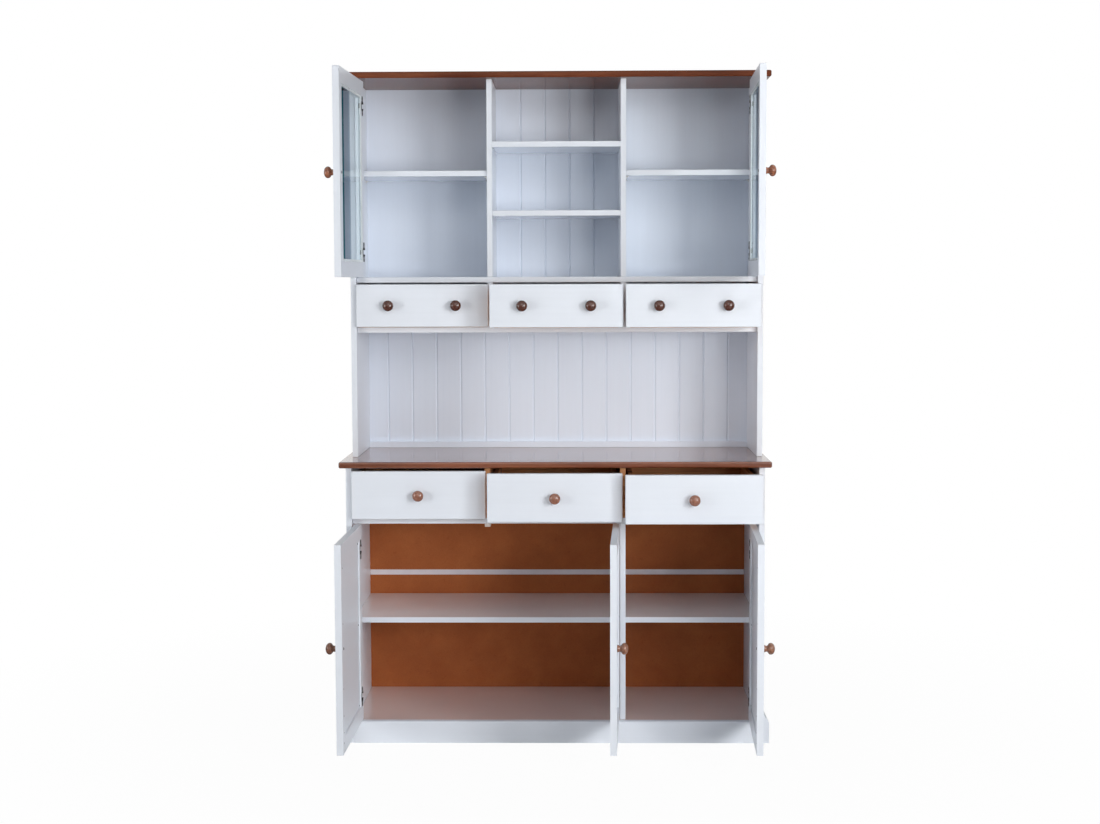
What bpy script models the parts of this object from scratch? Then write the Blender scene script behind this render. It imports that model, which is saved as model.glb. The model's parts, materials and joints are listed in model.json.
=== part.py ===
"""Kitchen dresser: a base cupboard with a stained worktop and a hutch that stands on it.

Built the way such furniture is made: panel sides, boards between them, drawers with pine
boxes and painted fronts, framed doors on concealed hinges, and turned wooden knobs.
Metres, +Z up, +X to the right and +Y towards the wall. The origin is on the floor under
the middle of the front plinth board. Doors and drawers stand open, as in the photograph.
"""
import math

import bmesh
import bpy
from mathutils import Vector

# Overall sizes
CARCASS_WIDTH = 1.200
BASE_DEPTH = 0.420
HUTCH_DEPTH = 0.300
WORKTOP_HEIGHT = 0.821
HUTCH_HEIGHT = 1.097
HUTCH_SHIFT = 0.005

# Boards
BOARD = 0.016
TOP_BOARD = 0.018
TOP_SIDE_OVERHANG = 0.018
WORKTOP_FRONT_OVERHANG = 0.020
CORNICE_FRONT_OVERHANG = 0.018
RECESS = 0.020
HARDBOARD = 0.003
GROOVED_BACK = 0.009
SEAT = 0.0003
OVERRUN = 0.002
TOP_ROUND = 0.003
EDGE_ROUND = 0.0008

# Base levels
PLINTH_HEIGHT = 0.064
PLINTH_BOARD = 0.018
PLINTH_ROUND = 0.006
SKIRT_HEIGHT = 0.087
SKIRT_SQUARE_HEIGHT = 0.058
SKIRT_BOARD = 0.017
BASE_DRAWER_FLOOR = 0.6545
BASE_SHELF_TOP = 0.3615
BASE_SHELF_SETBACK = 0.039
BACK_STRIP_Z = 0.428
BACK_STRIP_HEIGHT = 0.016
BACK_STRIP = 0.0015

# Hutch levels above the worktop
NICHE_HEIGHT = 0.364
HUTCH_DRAWER_SPACE = 0.130
LOWER_MIDDLE_SHELF = 0.719
UPPER_MIDDLE_SHELF = 0.918
CUPBOARD_SHELF = 0.835
CUPBOARD_SHELF_SETBACK = 0.030
FOOT_RAIL_HEIGHT = 0.018
FOOT_RAIL = 0.012
GROOVE_PITCH = 0.075
GROOVE_WIDTH = 0.007
GROOVE_DEPTH = 0.003
NICHE_GROOVES = 15
MIDDLE_GROOVES = 4

# Drawers
FRONT_BOARD = 0.018
FRONT_ROUND = 0.0025
FRONT_SIDE_GAP = 0.001
FRONT_MIDDLE_GAP = 0.0066
BASE_FRONT_TOP_GAP = 0.0085
HUTCH_FRONT_TOP_GAP = 0.0045
FRONT_BOTTOM_GAP = 0.0015
BOX_WALL = 0.013
BOX_INSET = 0.013
BOX_TOP_GAP = 0.022
BOX_RUN_GAP = 0.0004
BOX_BACK_GAP = 0.012
BOX_BOTTOM = 0.004
BOX_BOTTOM_RISE = 0.007
GUIDE_HEIGHT = 0.012
GUIDE_PLAY = 0.0007
BASE_PULLS = (0.016, 0.080, 0.121)
HUTCH_PULLS = (0.015, 0.100, 0.115)

# Doors
DOOR_BOARD = 0.018
DOOR_EDGE_GAP = 0.0015
DOOR_TOP_LAP = 0.001
DOOR_PLINTH_GAP = 0.007
HUTCH_DOOR_TOP_GAP = 0.008
HUTCH_DOOR_BOTTOM_GAP = 0.0005
PANEL_STILE = 0.045
PANEL_RAIL = 0.045
PANEL_CHAMFER = 0.003
PANEL_BOARD = 0.008
PANEL_FACE_INSET = 0.005
PANEL_GROOVE = 0.008
GLASS_STILE = 0.046
GLASS_RAIL = 0.050
GLASS_PANE = 0.004
GLASS_REBATE = 0.008
GLASS_FACE_INSET = 0.010
PANEL_PLAY = 0.0005

# Concealed hinges
AXIS_INSET = 0.007
HINGE_END = 0.070
HUTCH_HINGE_END = 0.072
CUP_CENTRE = 0.0225
CUP_RADIUS = 0.0175
CUP_HOLLOW_RADIUS = 0.014
CUP_SKIN = 0.0053
CUP_SIDES = 16
CUP_WING_LENGTH = 0.056
CUP_WING_WIDTH = 0.016
CUP_PLATE = 0.0012
ARM_WIDTH = 0.012
ARM_PLAY = 0.0004
ARM_NEAR = 0.0056
ARM_FAR = 0.012
ARM_TIP = 0.0073
ARM_SHOULDER = 0.0205
ARM_BODY_HEIGHT = 0.010
ARM_BODY_START = 0.032
PLATE_LENGTH = 0.052
PLATE_WIDTH = 0.030
PLATE_THICKNESS = 0.0035

# Knobs
KNOB_RADIUS = 0.0158
KNOB_LENGTH = 0.030
KNOB_FOOT_RADIUS = 0.0100
KNOB_NECK_RADIUS = 0.0072
KNOB_EDGE_SETBACK = 0.027
HUTCH_KNOB_SPACING = 0.196
KNOB_SIDES = 16

# Magnetic catch of the pair of doors
CATCH_WIDTH = 0.016
CATCH_DEPTH = 0.040
CATCH_HEIGHT = 0.010

# Opening angles in the photograph, in degrees
GLAZED_LEFT_ANGLE = 92.6
GLAZED_RIGHT_ANGLE = 88.1
PANEL_LEFT_ANGLE = 90.9
PANEL_MIDDLE_ANGLE = 87.5
PANEL_RIGHT_ANGLE = 87.4

# Derived planes
FRONT_Y = -PLINTH_BOARD / 2
BACK_Y = FRONT_Y + BASE_DEPTH
HUTCH_FRONT_Y = BACK_Y - HUTCH_DEPTH
INNER = CARCASS_WIDTH / 2 - BOARD
DIVIDER_X = INNER / 3
BASE_BACK_Y = BACK_Y - HARDBOARD
HUTCH_BACK_Y = BACK_Y - GROOVED_BACK
WORKTOP_UNDER = WORKTOP_HEIGHT - TOP_BOARD
CORNICE_UNDER = WORKTOP_HEIGHT + HUTCH_HEIGHT
NICHE_TOP = WORKTOP_HEIGHT + NICHE_HEIGHT
HUTCH_DRAWER_FLOOR = NICHE_TOP + BOARD
HUTCH_FLOOR_UNDER = HUTCH_DRAWER_FLOOR + HUTCH_DRAWER_SPACE
HUTCH_FLOOR = HUTCH_FLOOR_UNDER + BOARD
BASE_RAIL_UNDER = BASE_DRAWER_FLOOR - BOARD

WHITE = ("white_paint", (0.80, 0.81, 0.83, 1.0), 0.45, 0.0)
STAIN = ("brown_stain", (0.20, 0.068, 0.025, 1.0), 0.35, 0.0)
PINE = ("natural_pine", (0.62, 0.42, 0.26, 1.0), 0.60, 0.0)
BROWN_BOARD = ("brown_hardboard", (0.14, 0.050, 0.020, 1.0), 0.65, 0.0)
KNOB_WOOD = ("knob_wood", (0.10, 0.034, 0.018, 1.0), 0.35, 0.0)
PALE_KNOB = ("pale_knob_wood", (0.30, 0.15, 0.09, 1.0), 0.40, 0.0)
CLEAR_GLASS = ("clear_glass", (0.80, 0.90, 0.88, 1.0), 0.05, 0.0)
NICKEL = ("nickel", (0.60, 0.60, 0.60, 1.0), 0.30, 1.0)


def clear_scene():
    """Removes every object that the new file starts with."""
    for obj in list(bpy.data.objects):
        bpy.data.objects.remove(obj, do_unlink=True)


def material(finish):
    """Returns the Principled material for a finish, making it the first time."""
    name, colour, roughness, metallic = finish
    found = bpy.data.materials.get(name)
    if found:
        return found
    made = bpy.data.materials.new(name)
    made.use_nodes = True
    shader = made.node_tree.nodes["Principled BSDF"]
    shader.inputs["Base Color"].default_value = colour
    shader.inputs["Roughness"].default_value = roughness
    shader.inputs["Metallic"].default_value = metallic
    made.diffuse_color = colour
    return made


def add_box(mesh, x, y, z, rounding=0.0, segments=1):
    """Adds a box between three pairs of limits, with its edges eased if asked."""
    made = bmesh.ops.create_cube(mesh, size=1.0)
    spans = [(min(pair), max(pair)) for pair in (x, y, z)]
    for vertex in made["verts"]:
        vertex.co = Vector([low + (share + 0.5) * (high - low)
                            for share, (low, high) in zip(vertex.co, spans)])
    if rounding:
        edges = list({edge for vertex in made["verts"] for edge in vertex.link_edges})
        bmesh.ops.bevel(mesh, geom=edges, offset=rounding, segments=segments,
                        affect='EDGES', profile=0.5)


def add_prism(mesh, outline, direction):
    """Adds a closed prism: an outline of 3-D points, extruded along a vector."""
    base = mesh.faces.new([mesh.verts.new(point) for point in outline])
    swept = bmesh.ops.extrude_face_region(mesh, geom=[base], use_keep_orig=True)
    moved = [item for item in swept["geom"] if isinstance(item, bmesh.types.BMVert)]
    bmesh.ops.translate(mesh, verts=moved, vec=Vector(direction))


def finish_object(name, mesh, finish, parent=None, smooth=False):
    """Turns a bmesh into a named object with its material."""
    bmesh.ops.recalc_face_normals(mesh, faces=mesh.faces)
    data = bpy.data.meshes.new(name)
    mesh.to_mesh(data)
    mesh.free()
    data.materials.append(material(finish))
    obj = bpy.data.objects.new(name, data)
    bpy.context.scene.collection.objects.link(obj)
    if smooth:
        data.shade_smooth()
        data.set_sharp_from_angle(angle=math.radians(40.0))
    if parent:
        obj.parent = parent
    return obj


def fuse(target, name, mesh, finish, operation='UNION'):
    """Joins a mesh to a target with a Boolean, or cuts it out, and hides the mesh's object."""
    tool = finish_object(name, mesh, finish, target.parent)
    tool.hide_render = True
    tool.display_type = 'WIRE'
    boolean = target.modifiers.new(name, 'BOOLEAN')
    boolean.operation = operation
    boolean.solver = 'EXACT'
    boolean.material_mode = 'TRANSFER'
    boolean.object = tool


def add_empty(name, location, turn=0.0):
    """Adds the empty that carries a moving group, on its joint's axis."""
    pivot = bpy.data.objects.new(name, None)
    bpy.context.scene.collection.objects.link(pivot)
    pivot.location = location
    pivot.rotation_euler = (0.0, 0.0, turn)
    return pivot


def board(name, finish, x, y, z, rounding=EDGE_ROUND, segments=1):
    """Makes one board from its x, y and z limits."""
    mesh = bmesh.new()
    add_box(mesh, x, y, z, rounding, segments)
    return finish_object(name, mesh, finish)


def skirt_outline(side):
    """Side skirt section: square foot, then a hollow and round curve in to the panel."""
    panel = CARCASS_WIDTH / 2
    outer = panel + SKIRT_BOARD
    lip = panel + TOP_ROUND / 2
    steps = 8
    points = [(side * (panel - OVERRUN), 0.0), (side * outer, 0.0)]
    for step in range(steps + 1):
        share = step / steps
        lean_share = 0.4 * (1.0 - share) ** 0.8 + 0.3 * (1.0 + math.cos(math.pi * share))
        points.append((side * (lip + (outer - lip) * lean_share),
                       SKIRT_SQUARE_HEIGHT + (SKIRT_HEIGHT - SKIRT_SQUARE_HEIGHT) * share))
    points.append((side * (panel - OVERRUN), SKIRT_HEIGHT))
    return points


def build_base():
    """The base cupboard's fixed boards."""
    half = CARCASS_WIDTH / 2
    y_board, y_back = FRONT_Y + RECESS, BASE_BACK_Y - SEAT
    for label, side in (("left", -1), ("right", 1)):
        panel = board("base_side_" + label, WHITE, (side * INNER, side * half),
                      (FRONT_Y, y_back), (0.0, WORKTOP_UNDER - SEAT))
        mesh = bmesh.new()
        add_prism(mesh, [(x, FRONT_Y, z) for x, z in skirt_outline(side)],
                  (0.0, y_back - FRONT_Y, 0.0))
        fuse(panel, "skirt_" + label, mesh, WHITE)
        fuse_hinge_plates(panel, "base_" + label)
    top_half = half + TOP_SIDE_OVERHANG
    board("base_worktop", STAIN, (-top_half, top_half),
          (FRONT_Y - WORKTOP_FRONT_OVERHANG, BACK_Y), (WORKTOP_UNDER, WORKTOP_HEIGHT),
          TOP_ROUND, 2)
    across = (-INNER + SEAT, INNER - SEAT)
    board("base_floor", WHITE, across, (FRONT_Y + PLINTH_BOARD + SEAT, y_back),
          (PLINTH_HEIGHT - BOARD, PLINTH_HEIGHT))
    rail = board("base_drawer_board", WHITE, across, (y_board, y_back),
                 (BASE_RAIL_UNDER, BASE_DRAWER_FLOOR), 0.0)
    fuse(rail, "base_guides", guides(0.0, BASE_DRAWER_FLOOR, (y_board, y_back), SEAT), PINE)
    mesh = bmesh.new()
    meeting = (-INNER + DIVIDER_X) / 2
    add_box(mesh, (meeting - CATCH_WIDTH / 2, meeting + CATCH_WIDTH / 2),
            (y_board + SEAT, y_board + CATCH_DEPTH),
            (BASE_RAIL_UNDER - CATCH_HEIGHT, BASE_RAIL_UNDER + OVERRUN))
    fuse(rail, "door_catch", mesh, NICKEL)
    partition = board("base_partition", WHITE,
                      (DIVIDER_X - BOARD / 2, DIVIDER_X + BOARD / 2),
                      (y_board, y_back - BACK_STRIP),
                      (PLINTH_HEIGHT + SEAT, BASE_RAIL_UNDER - SEAT))
    fuse_hinge_plates(partition, "base_middle")
    for label, side in (("left", -1), ("right", 1)):
        board("base_divider_" + label, PINE,
              (side * DIVIDER_X - BOARD / 2, side * DIVIDER_X + BOARD / 2), (y_board, y_back),
              (BASE_DRAWER_FLOOR + SEAT, WORKTOP_UNDER - SEAT))
    bays = ((-INNER, DIVIDER_X - BOARD / 2), (DIVIDER_X + BOARD / 2, INNER))
    for label, (low, high) in zip(("left", "right"), bays):
        board("base_shelf_" + label, WHITE, (low + SEAT, high - SEAT),
              (FRONT_Y + BASE_SHELF_SETBACK, y_back - BACK_STRIP),
              (BASE_SHELF_TOP - BOARD, BASE_SHELF_TOP))
    build_base_back(half)
    mesh = bmesh.new()
    add_prism(mesh, [(-INNER + SEAT, y, z) for y, z in plinth_section()],
              (2.0 * (INNER - SEAT), 0.0, 0.0))
    finish_object("base_plinth", mesh, WHITE)


def build_base_back(half):
    """Hardboard back in two sheets, held together by the joint strip between them."""
    near, far = BASE_BACK_Y, BACK_Y
    panel = board("base_back_panel", BROWN_BOARD, (-half, half), (near, far),
                  (PLINTH_HEIGHT - BOARD, WORKTOP_UNDER - SEAT), 0.0)
    mesh = bmesh.new()
    add_box(mesh, (-INNER + SEAT, INNER - SEAT), (near - BACK_STRIP, near + HARDBOARD / 2),
            (BACK_STRIP_Z - BACK_STRIP_HEIGHT / 2, BACK_STRIP_Z + BACK_STRIP_HEIGHT / 2))
    fuse(panel, "back_joint_strip", mesh, WHITE)


def plinth_section():
    """Front plinth section, with its upper front edge rounded."""
    low, high = FRONT_Y, FRONT_Y + PLINTH_BOARD
    steps = 5
    section = [(low, 0.0), (high, 0.0), (high, PLINTH_HEIGHT)]
    for step in range(steps + 1):
        angle = math.pi / 2 * step / steps
        section.append((low + PLINTH_ROUND * (1.0 - math.sin(angle)),
                        PLINTH_HEIGHT - PLINTH_ROUND * (1.0 - math.cos(angle))))
    return section


def guides(shift, floor, depth, divider_gap):
    """Guide strips beside each drawer box, sunk into the board that carries them."""
    mesh = bmesh.new()
    walls = [-INNER + SEAT, -DIVIDER_X - BOARD / 2 - divider_gap,
             -DIVIDER_X + BOARD / 2 + divider_gap, DIVIDER_X - BOARD / 2 - divider_gap,
             DIVIDER_X + BOARD / 2 + divider_gap, INNER - SEAT]
    for bay, (_, box) in enumerate(bay_spans(shift)):
        for wall, face, way in ((walls[2 * bay] + shift, box[0], -1),
                                (walls[2 * bay + 1] + shift, box[1], 1)):
            add_box(mesh, (wall, face + way * GUIDE_PLAY), depth,
                    (floor - OVERRUN, floor + GUIDE_HEIGHT))
    return mesh


def hutch_x(x):
    """Places a hutch dimension, which stands a little to the right of the base."""
    return x + HUTCH_SHIFT


def hutch_span(low, high):
    """Places a pair of hutch limits."""
    return (hutch_x(low), hutch_x(high))


def build_hutch():
    """The hutch's fixed boards."""
    half = CARCASS_WIDTH / 2
    foot = WORKTOP_HEIGHT + SEAT
    y_front, y_board, y_back = HUTCH_FRONT_Y, HUTCH_FRONT_Y + RECESS, HUTCH_BACK_Y - SEAT
    for label, side in (("left", -1), ("right", 1)):
        panel = board("hutch_side_" + label, WHITE, hutch_span(side * INNER, side * half),
                      (y_front, BACK_Y), (foot, CORNICE_UNDER - SEAT))
        fuse_hinge_plates(panel, "hutch_" + label)
    top_half = half + TOP_SIDE_OVERHANG
    board("hutch_top", STAIN, hutch_span(-top_half, top_half),
          (y_front - CORNICE_FRONT_OVERHANG, BACK_Y),
          (CORNICE_UNDER, CORNICE_UNDER + TOP_BOARD), TOP_ROUND, 2)
    across = hutch_span(-INNER + SEAT, INNER - SEAT)
    depth = (y_board, y_back)
    board("hutch_floor", WHITE, across, depth, (HUTCH_FLOOR_UNDER, HUTCH_FLOOR))
    rail = board("hutch_drawer_board", WHITE, across, depth, (NICHE_TOP, HUTCH_DRAWER_FLOOR),
                 0.0)
    mesh = bmesh.new()
    for side in (-1, 1):
        add_box(mesh, hutch_span(side * DIVIDER_X - BOARD / 2, side * DIVIDER_X + BOARD / 2),
                depth, (HUTCH_DRAWER_FLOOR - OVERRUN, HUTCH_FLOOR_UNDER - SEAT))
    fuse(rail, "hutch_drawer_dividers", mesh, WHITE)
    fuse(rail, "hutch_guides",
         guides(HUTCH_SHIFT, HUTCH_DRAWER_FLOOR, (y_board + OVERRUN, y_back - OVERRUN),
                -OVERRUN), PINE)
    for label, side in (("left", -1), ("right", 1)):
        board("hutch_divider_" + label, WHITE,
              hutch_span(side * DIVIDER_X - BOARD / 2, side * DIVIDER_X + BOARD / 2), depth,
              (HUTCH_FLOOR + SEAT, CORNICE_UNDER - SEAT))
    middle = hutch_span(-DIVIDER_X + BOARD / 2 + SEAT, DIVIDER_X - BOARD / 2 - SEAT)
    for label, top in (("lower", LOWER_MIDDLE_SHELF), ("upper", UPPER_MIDDLE_SHELF)):
        board("hutch_shelf_" + label, WHITE, middle, depth,
              (WORKTOP_HEIGHT + top - BOARD, WORKTOP_HEIGHT + top))
    shelf_top = WORKTOP_HEIGHT + CUPBOARD_SHELF
    bays = ((-INNER, -DIVIDER_X - BOARD / 2), (DIVIDER_X + BOARD / 2, INNER))
    for label, (low, high) in zip(("left", "right"), bays):
        board("hutch_shelf_" + label, WHITE, hutch_span(low + SEAT, high - SEAT),
              (y_front + CUPBOARD_SHELF_SETBACK, y_back), (shelf_top - BOARD, shelf_top))
    build_grooved_back(foot)


def build_grooved_back(foot):
    """One back board: boarded with V-grooves where it is open to view, with a foot rail."""
    low, high = -INNER + SEAT, INNER - SEAT
    panel = board("hutch_back_panel", WHITE, hutch_span(low, high), (HUTCH_BACK_Y, BACK_Y),
                  (foot, CORNICE_UNDER - SEAT), 0.0)
    half_count = (NICHE_GROOVES - 1) / 2
    places = [(index - half_count) * GROOVE_PITCH for index in range(NICHE_GROOVES)]
    cut_grooves(panel, "niche_grooves", places, foot - OVERRUN, NICHE_TOP)
    half_count = (MIDDLE_GROOVES - 1) / 2
    places = [(index - half_count) * GROOVE_PITCH for index in range(MIDDLE_GROOVES)]
    cut_grooves(panel, "middle_grooves", places, HUTCH_FLOOR, CORNICE_UNDER)
    mesh = bmesh.new()
    add_box(mesh, hutch_span(low, high),
            (HUTCH_BACK_Y - FOOT_RAIL, HUTCH_BACK_Y + GROOVE_DEPTH + OVERRUN),
            (foot, foot + FOOT_RAIL_HEIGHT))
    fuse(panel, "foot_rail", mesh, WHITE)


def cut_grooves(panel, name, places, bottom, top):
    """Cuts upright V-grooves in to the front face of the hutch's back."""
    mesh = bmesh.new()
    slope = GROOVE_WIDTH / 2 / GROOVE_DEPTH
    wide = slope * (GROOVE_DEPTH + OVERRUN)
    for centre in places:
        outline = [(centre - wide, HUTCH_BACK_Y - OVERRUN), (centre + wide, HUTCH_BACK_Y - OVERRUN),
                   (centre, HUTCH_BACK_Y + GROOVE_DEPTH)]
        add_prism(mesh, [(hutch_x(x), y, bottom) for x, y in outline],
                  (0.0, 0.0, top - bottom))
    fuse(panel, name, mesh, WHITE, 'DIFFERENCE')


def knob_profile():
    """Half section of a turned knob: distance out from the front, and radius."""
    out_shares = (0.0, 0.0, 0.12, 0.30, 0.45, 0.56, 0.68, 0.80, 0.90, 0.97, 1.0)
    foot, neck, cap = KNOB_FOOT_RADIUS, KNOB_NECK_RADIUS, KNOB_RADIUS
    cap_shares = (0.80, 1.0, 0.97, 0.80, 0.48)
    radii = [0.0, foot, foot, neck, neck] + [cap * share for share in cap_shares] + [0.0]
    return [(share * KNOB_LENGTH, radius) for share, radius in zip(out_shares, radii)]


def build_knob(name, finish, centre, parent):
    """Turns one knob about its axis, which points straight out of the front."""
    mesh = bmesh.new()
    x, y, z = centre
    points = [mesh.verts.new((x, y - SEAT - out, z + radius)) for out, radius in knob_profile()]
    edges = [mesh.edges.new(pair) for pair in zip(points[:-1], points[1:])]
    bmesh.ops.spin(mesh, geom=points + edges, cent=centre, axis=(0.0, 1.0, 0.0),
                   angle=math.tau, steps=KNOB_SIDES, use_merge=True)
    bmesh.ops.remove_doubles(mesh, verts=mesh.verts, dist=SEAT / 10)
    return finish_object(name, mesh, finish, parent, smooth=True)


def add_tray(mesh, x, y, z, wall, rise, bottom):
    """Adds an open box: walls with a bottom panel let in above their lower edge."""
    add_box(mesh, x, y, z)
    mesh.faces.ensure_lookup_table()
    for way, depth in ((1, z[1] - z[0] - rise - bottom), (-1, rise)):
        face = max(mesh.faces, key=lambda item: way * item.calc_center_median().z)
        bmesh.ops.inset_region(mesh, faces=[face], thickness=wall, use_even_offset=True)
        sunk = bmesh.ops.extrude_discrete_faces(mesh, faces=[face])["faces"][0]
        bmesh.ops.translate(mesh, verts=sunk.verts, vec=(0.0, 0.0, -way * depth))


def bay_spans(shift):
    """Front spans and box spans of the three drawer bays."""
    gap = FRONT_MIDDLE_GAP / 2
    edges = (-INNER + FRONT_SIDE_GAP, -DIVIDER_X - gap, -DIVIDER_X + gap, DIVIDER_X - gap,
             DIVIDER_X + gap, INNER - FRONT_SIDE_GAP)
    spans = []
    for bay in range(3):
        low, high = edges[2 * bay] + shift, edges[2 * bay + 1] + shift
        spans.append(((low, high), (low + BOX_INSET, high - BOX_INSET)))
    return spans


def build_drawer(label, spans, plane_y, pull, z_front, z_box, box_back, knob_places):
    """One drawer: painted front, pine box and its knobs."""
    x_front, x_box = spans
    middle = ((x_front[0] + x_front[1]) / 2, plane_y - pull, z_box[0])
    pivot = add_empty("drawer_" + label + "_slide", middle)

    def local(pair, axis):
        return (pair[0] - middle[axis], pair[1] - middle[axis])

    mesh = bmesh.new()
    add_box(mesh, local(x_front, 0), (0.0, FRONT_BOARD), local(z_front, 2), FRONT_ROUND, 2)
    finish_object("drawer_" + label + "_front", mesh, WHITE, pivot)
    mesh = bmesh.new()
    add_tray(mesh, local(x_box, 0), (FRONT_BOARD + SEAT, box_back - plane_y), local(z_box, 2),
             BOX_WALL, BOX_BOTTOM_RISE, BOX_BOTTOM)
    finish_object("drawer_" + label + "_box", mesh, PINE, pivot)
    height = (z_front[0] + z_front[1]) / 2 - middle[2]
    for ending, offset in knob_places:
        build_knob("drawer_" + label + "_knob" + ending, KNOB_WOOD, (offset, 0.0, height),
                   pivot)


def build_drawers():
    """Three drawers under the worktop and three in the hutch."""
    labels = ("left", "middle", "right")
    for label, spans, pull in zip(labels, bay_spans(0.0), BASE_PULLS):
        build_drawer("base_" + label, spans, FRONT_Y, pull,
                     (BASE_DRAWER_FLOOR + FRONT_BOTTOM_GAP, WORKTOP_UNDER - BASE_FRONT_TOP_GAP),
                     (BASE_DRAWER_FLOOR + BOX_RUN_GAP, WORKTOP_UNDER - BOX_TOP_GAP),
                     BASE_BACK_Y - BOX_BACK_GAP, (("", 0.0),))
    pair = (("_left", -HUTCH_KNOB_SPACING / 2), ("_right", HUTCH_KNOB_SPACING / 2))
    for label, spans, pull in zip(labels, bay_spans(HUTCH_SHIFT), HUTCH_PULLS):
        build_drawer("hutch_" + label, spans, HUTCH_FRONT_Y, pull,
                     (HUTCH_DRAWER_FLOOR + FRONT_BOTTOM_GAP,
                      HUTCH_FLOOR_UNDER - HUTCH_FRONT_TOP_GAP),
                     (HUTCH_DRAWER_FLOOR + BOX_RUN_GAP, HUTCH_FLOOR_UNDER - BOX_TOP_GAP),
                     HUTCH_BACK_Y - BOX_BACK_GAP, pair)


def frame_section(glazed):
    """Frame section as (how far past the inner edge, or None at the outer edge, depth)."""
    if glazed:
        return [(None, 0.0), (0.0, 0.0), (0.0, GLASS_FACE_INSET),
                (GLASS_REBATE, GLASS_FACE_INSET), (GLASS_REBATE, DOOR_BOARD),
                (None, DOOR_BOARD)]
    groove_end = PANEL_FACE_INSET + PANEL_BOARD + 2.0 * SEAT
    return [(None, 0.0), (PANEL_CHAMFER, 0.0), (0.0, PANEL_CHAMFER), (0.0, PANEL_FACE_INSET),
            (PANEL_GROOVE, PANEL_FACE_INSET), (PANEL_GROOVE, groove_end), (0.0, groove_end),
            (0.0, DOOR_BOARD - PANEL_CHAMFER), (PANEL_CHAMFER, DOOR_BOARD), (None, DOOR_BOARD)]


def build_frame(name, parent, x, z, stile, rail, glazed):
    """Runs the frame's section round the door, mitred at its four corners."""
    mesh = bmesh.new()
    rings = []
    for past, depth in frame_section(glazed):
        dx, dz = (0.0, 0.0) if past is None else (stile - past, rail - past)
        inward = 1.0 if x[1] > x[0] else -1.0
        left, right = x[0] + inward * dx, x[1] - inward * dx
        low, high = z[0] + dz, z[1] - dz
        rings.append([mesh.verts.new((px, depth, pz)) for px, pz in
                      ((left, low), (right, low), (right, high), (left, high))])
    for near, far in zip(rings, rings[1:] + rings[:1]):
        for corner in range(4):
            following = (corner + 1) % 4
            mesh.faces.new((near[corner], near[following], far[following], far[corner]))
    return finish_object(name, mesh, WHITE, parent)


def cup_outline():
    """Face of a hinge cup: a round rim with two screw wings, as (across, up) points."""
    wing_x, wing_z = CUP_WING_WIDTH / 2, CUP_WING_LENGTH / 2
    corner = math.atan2(wing_z, wing_x)
    angles = [math.tau * step / CUP_SIDES for step in range(CUP_SIDES)]
    angles += [corner, math.pi - corner, math.pi + corner, math.tau - corner]
    points = []
    for angle in sorted(angles):
        cos, sin = math.cos(angle), math.sin(angle)
        reach = min(wing_x / max(abs(cos), SEAT), wing_z / max(abs(sin), SEAT))
        radius = max(CUP_RADIUS, reach)
        points.append((radius * cos, radius * sin))
    return points


def build_door(row):
    """One framed door on its hinge axis, with its pane or panel, knob and hinge cups."""
    label, hand, hinge_edge, width, plane_y, z, angle, glazed, knob_finish, hinge_end = row
    pivot = add_empty("door_" + label + "_hinge_axis", (hinge_edge + hand * AXIS_INSET,
                      plane_y, 0.0), -hand * math.radians(angle))
    start, end = -AXIS_INSET, width - AXIS_INSET
    low, high = z
    stile, rail = (GLASS_STILE, GLASS_RAIL) if glazed else (PANEL_STILE, PANEL_RAIL)
    name = "door_" + label
    frame = build_frame(name + "_frame", pivot, (hand * start, hand * end), z, stile, rail,
                        glazed)
    if glazed:
        lap, thick, inset = GLASS_REBATE - PANEL_PLAY, GLASS_PANE, GLASS_FACE_INSET + SEAT
    else:
        lap, thick, inset = PANEL_GROOVE - PANEL_PLAY, PANEL_BOARD, PANEL_FACE_INSET + SEAT
    mesh = bmesh.new()
    add_box(mesh, (hand * (start + stile - lap), hand * (end - stile + lap)),
            (inset, inset + thick), (low + rail - lap, high - rail + lap))
    finish_object(name + ("_glass" if glazed else "_panel"), mesh,
                  CLEAR_GLASS if glazed else WHITE, pivot)
    build_knob(name + "_knob", knob_finish,
               (hand * (end - KNOB_EDGE_SETBACK), 0.0, (low + high) / 2), pivot)
    cut_cups(frame, name, hand * (start + CUP_CENTRE), hand * (start - OVERRUN),
             (low + hinge_end, high - hinge_end))


def cut_cups(frame, name, centre, edge, heights):
    """Lets two hinge cups in to a door: flange, hollow, and the slot that the arm turns in."""
    flanges, hollows, slots = bmesh.new(), bmesh.new(), bmesh.new()
    face = DOOR_BOARD + CUP_PLATE
    past = face + OVERRUN - CUP_SKIN
    half_slot = ARM_WIDTH / 2 + ARM_PLAY
    for height in heights:
        add_prism(flanges, [(centre + across, DOOR_BOARD - OVERRUN, height + up)
                            for across, up in cup_outline()], (0.0, CUP_PLATE + OVERRUN, 0.0))
        turn = math.tau / CUP_SIDES
        add_prism(hollows, [(centre + CUP_HOLLOW_RADIUS * math.cos(turn * step), CUP_SKIN,
                             height + CUP_HOLLOW_RADIUS * math.sin(turn * step))
                            for step in range(CUP_SIDES)], (0.0, past, 0.0))
        add_box(slots, (edge, centre), (CUP_SKIN, CUP_SKIN + past),
                (height - half_slot, height + half_slot))
    fuse(frame, name + "_flanges", flanges, NICKEL)
    fuse(frame, name + "_cup_hollows", hollows, NICKEL, 'DIFFERENCE')
    fuse(frame, name + "_arm_slots", slots, NICKEL, 'DIFFERENCE')


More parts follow.
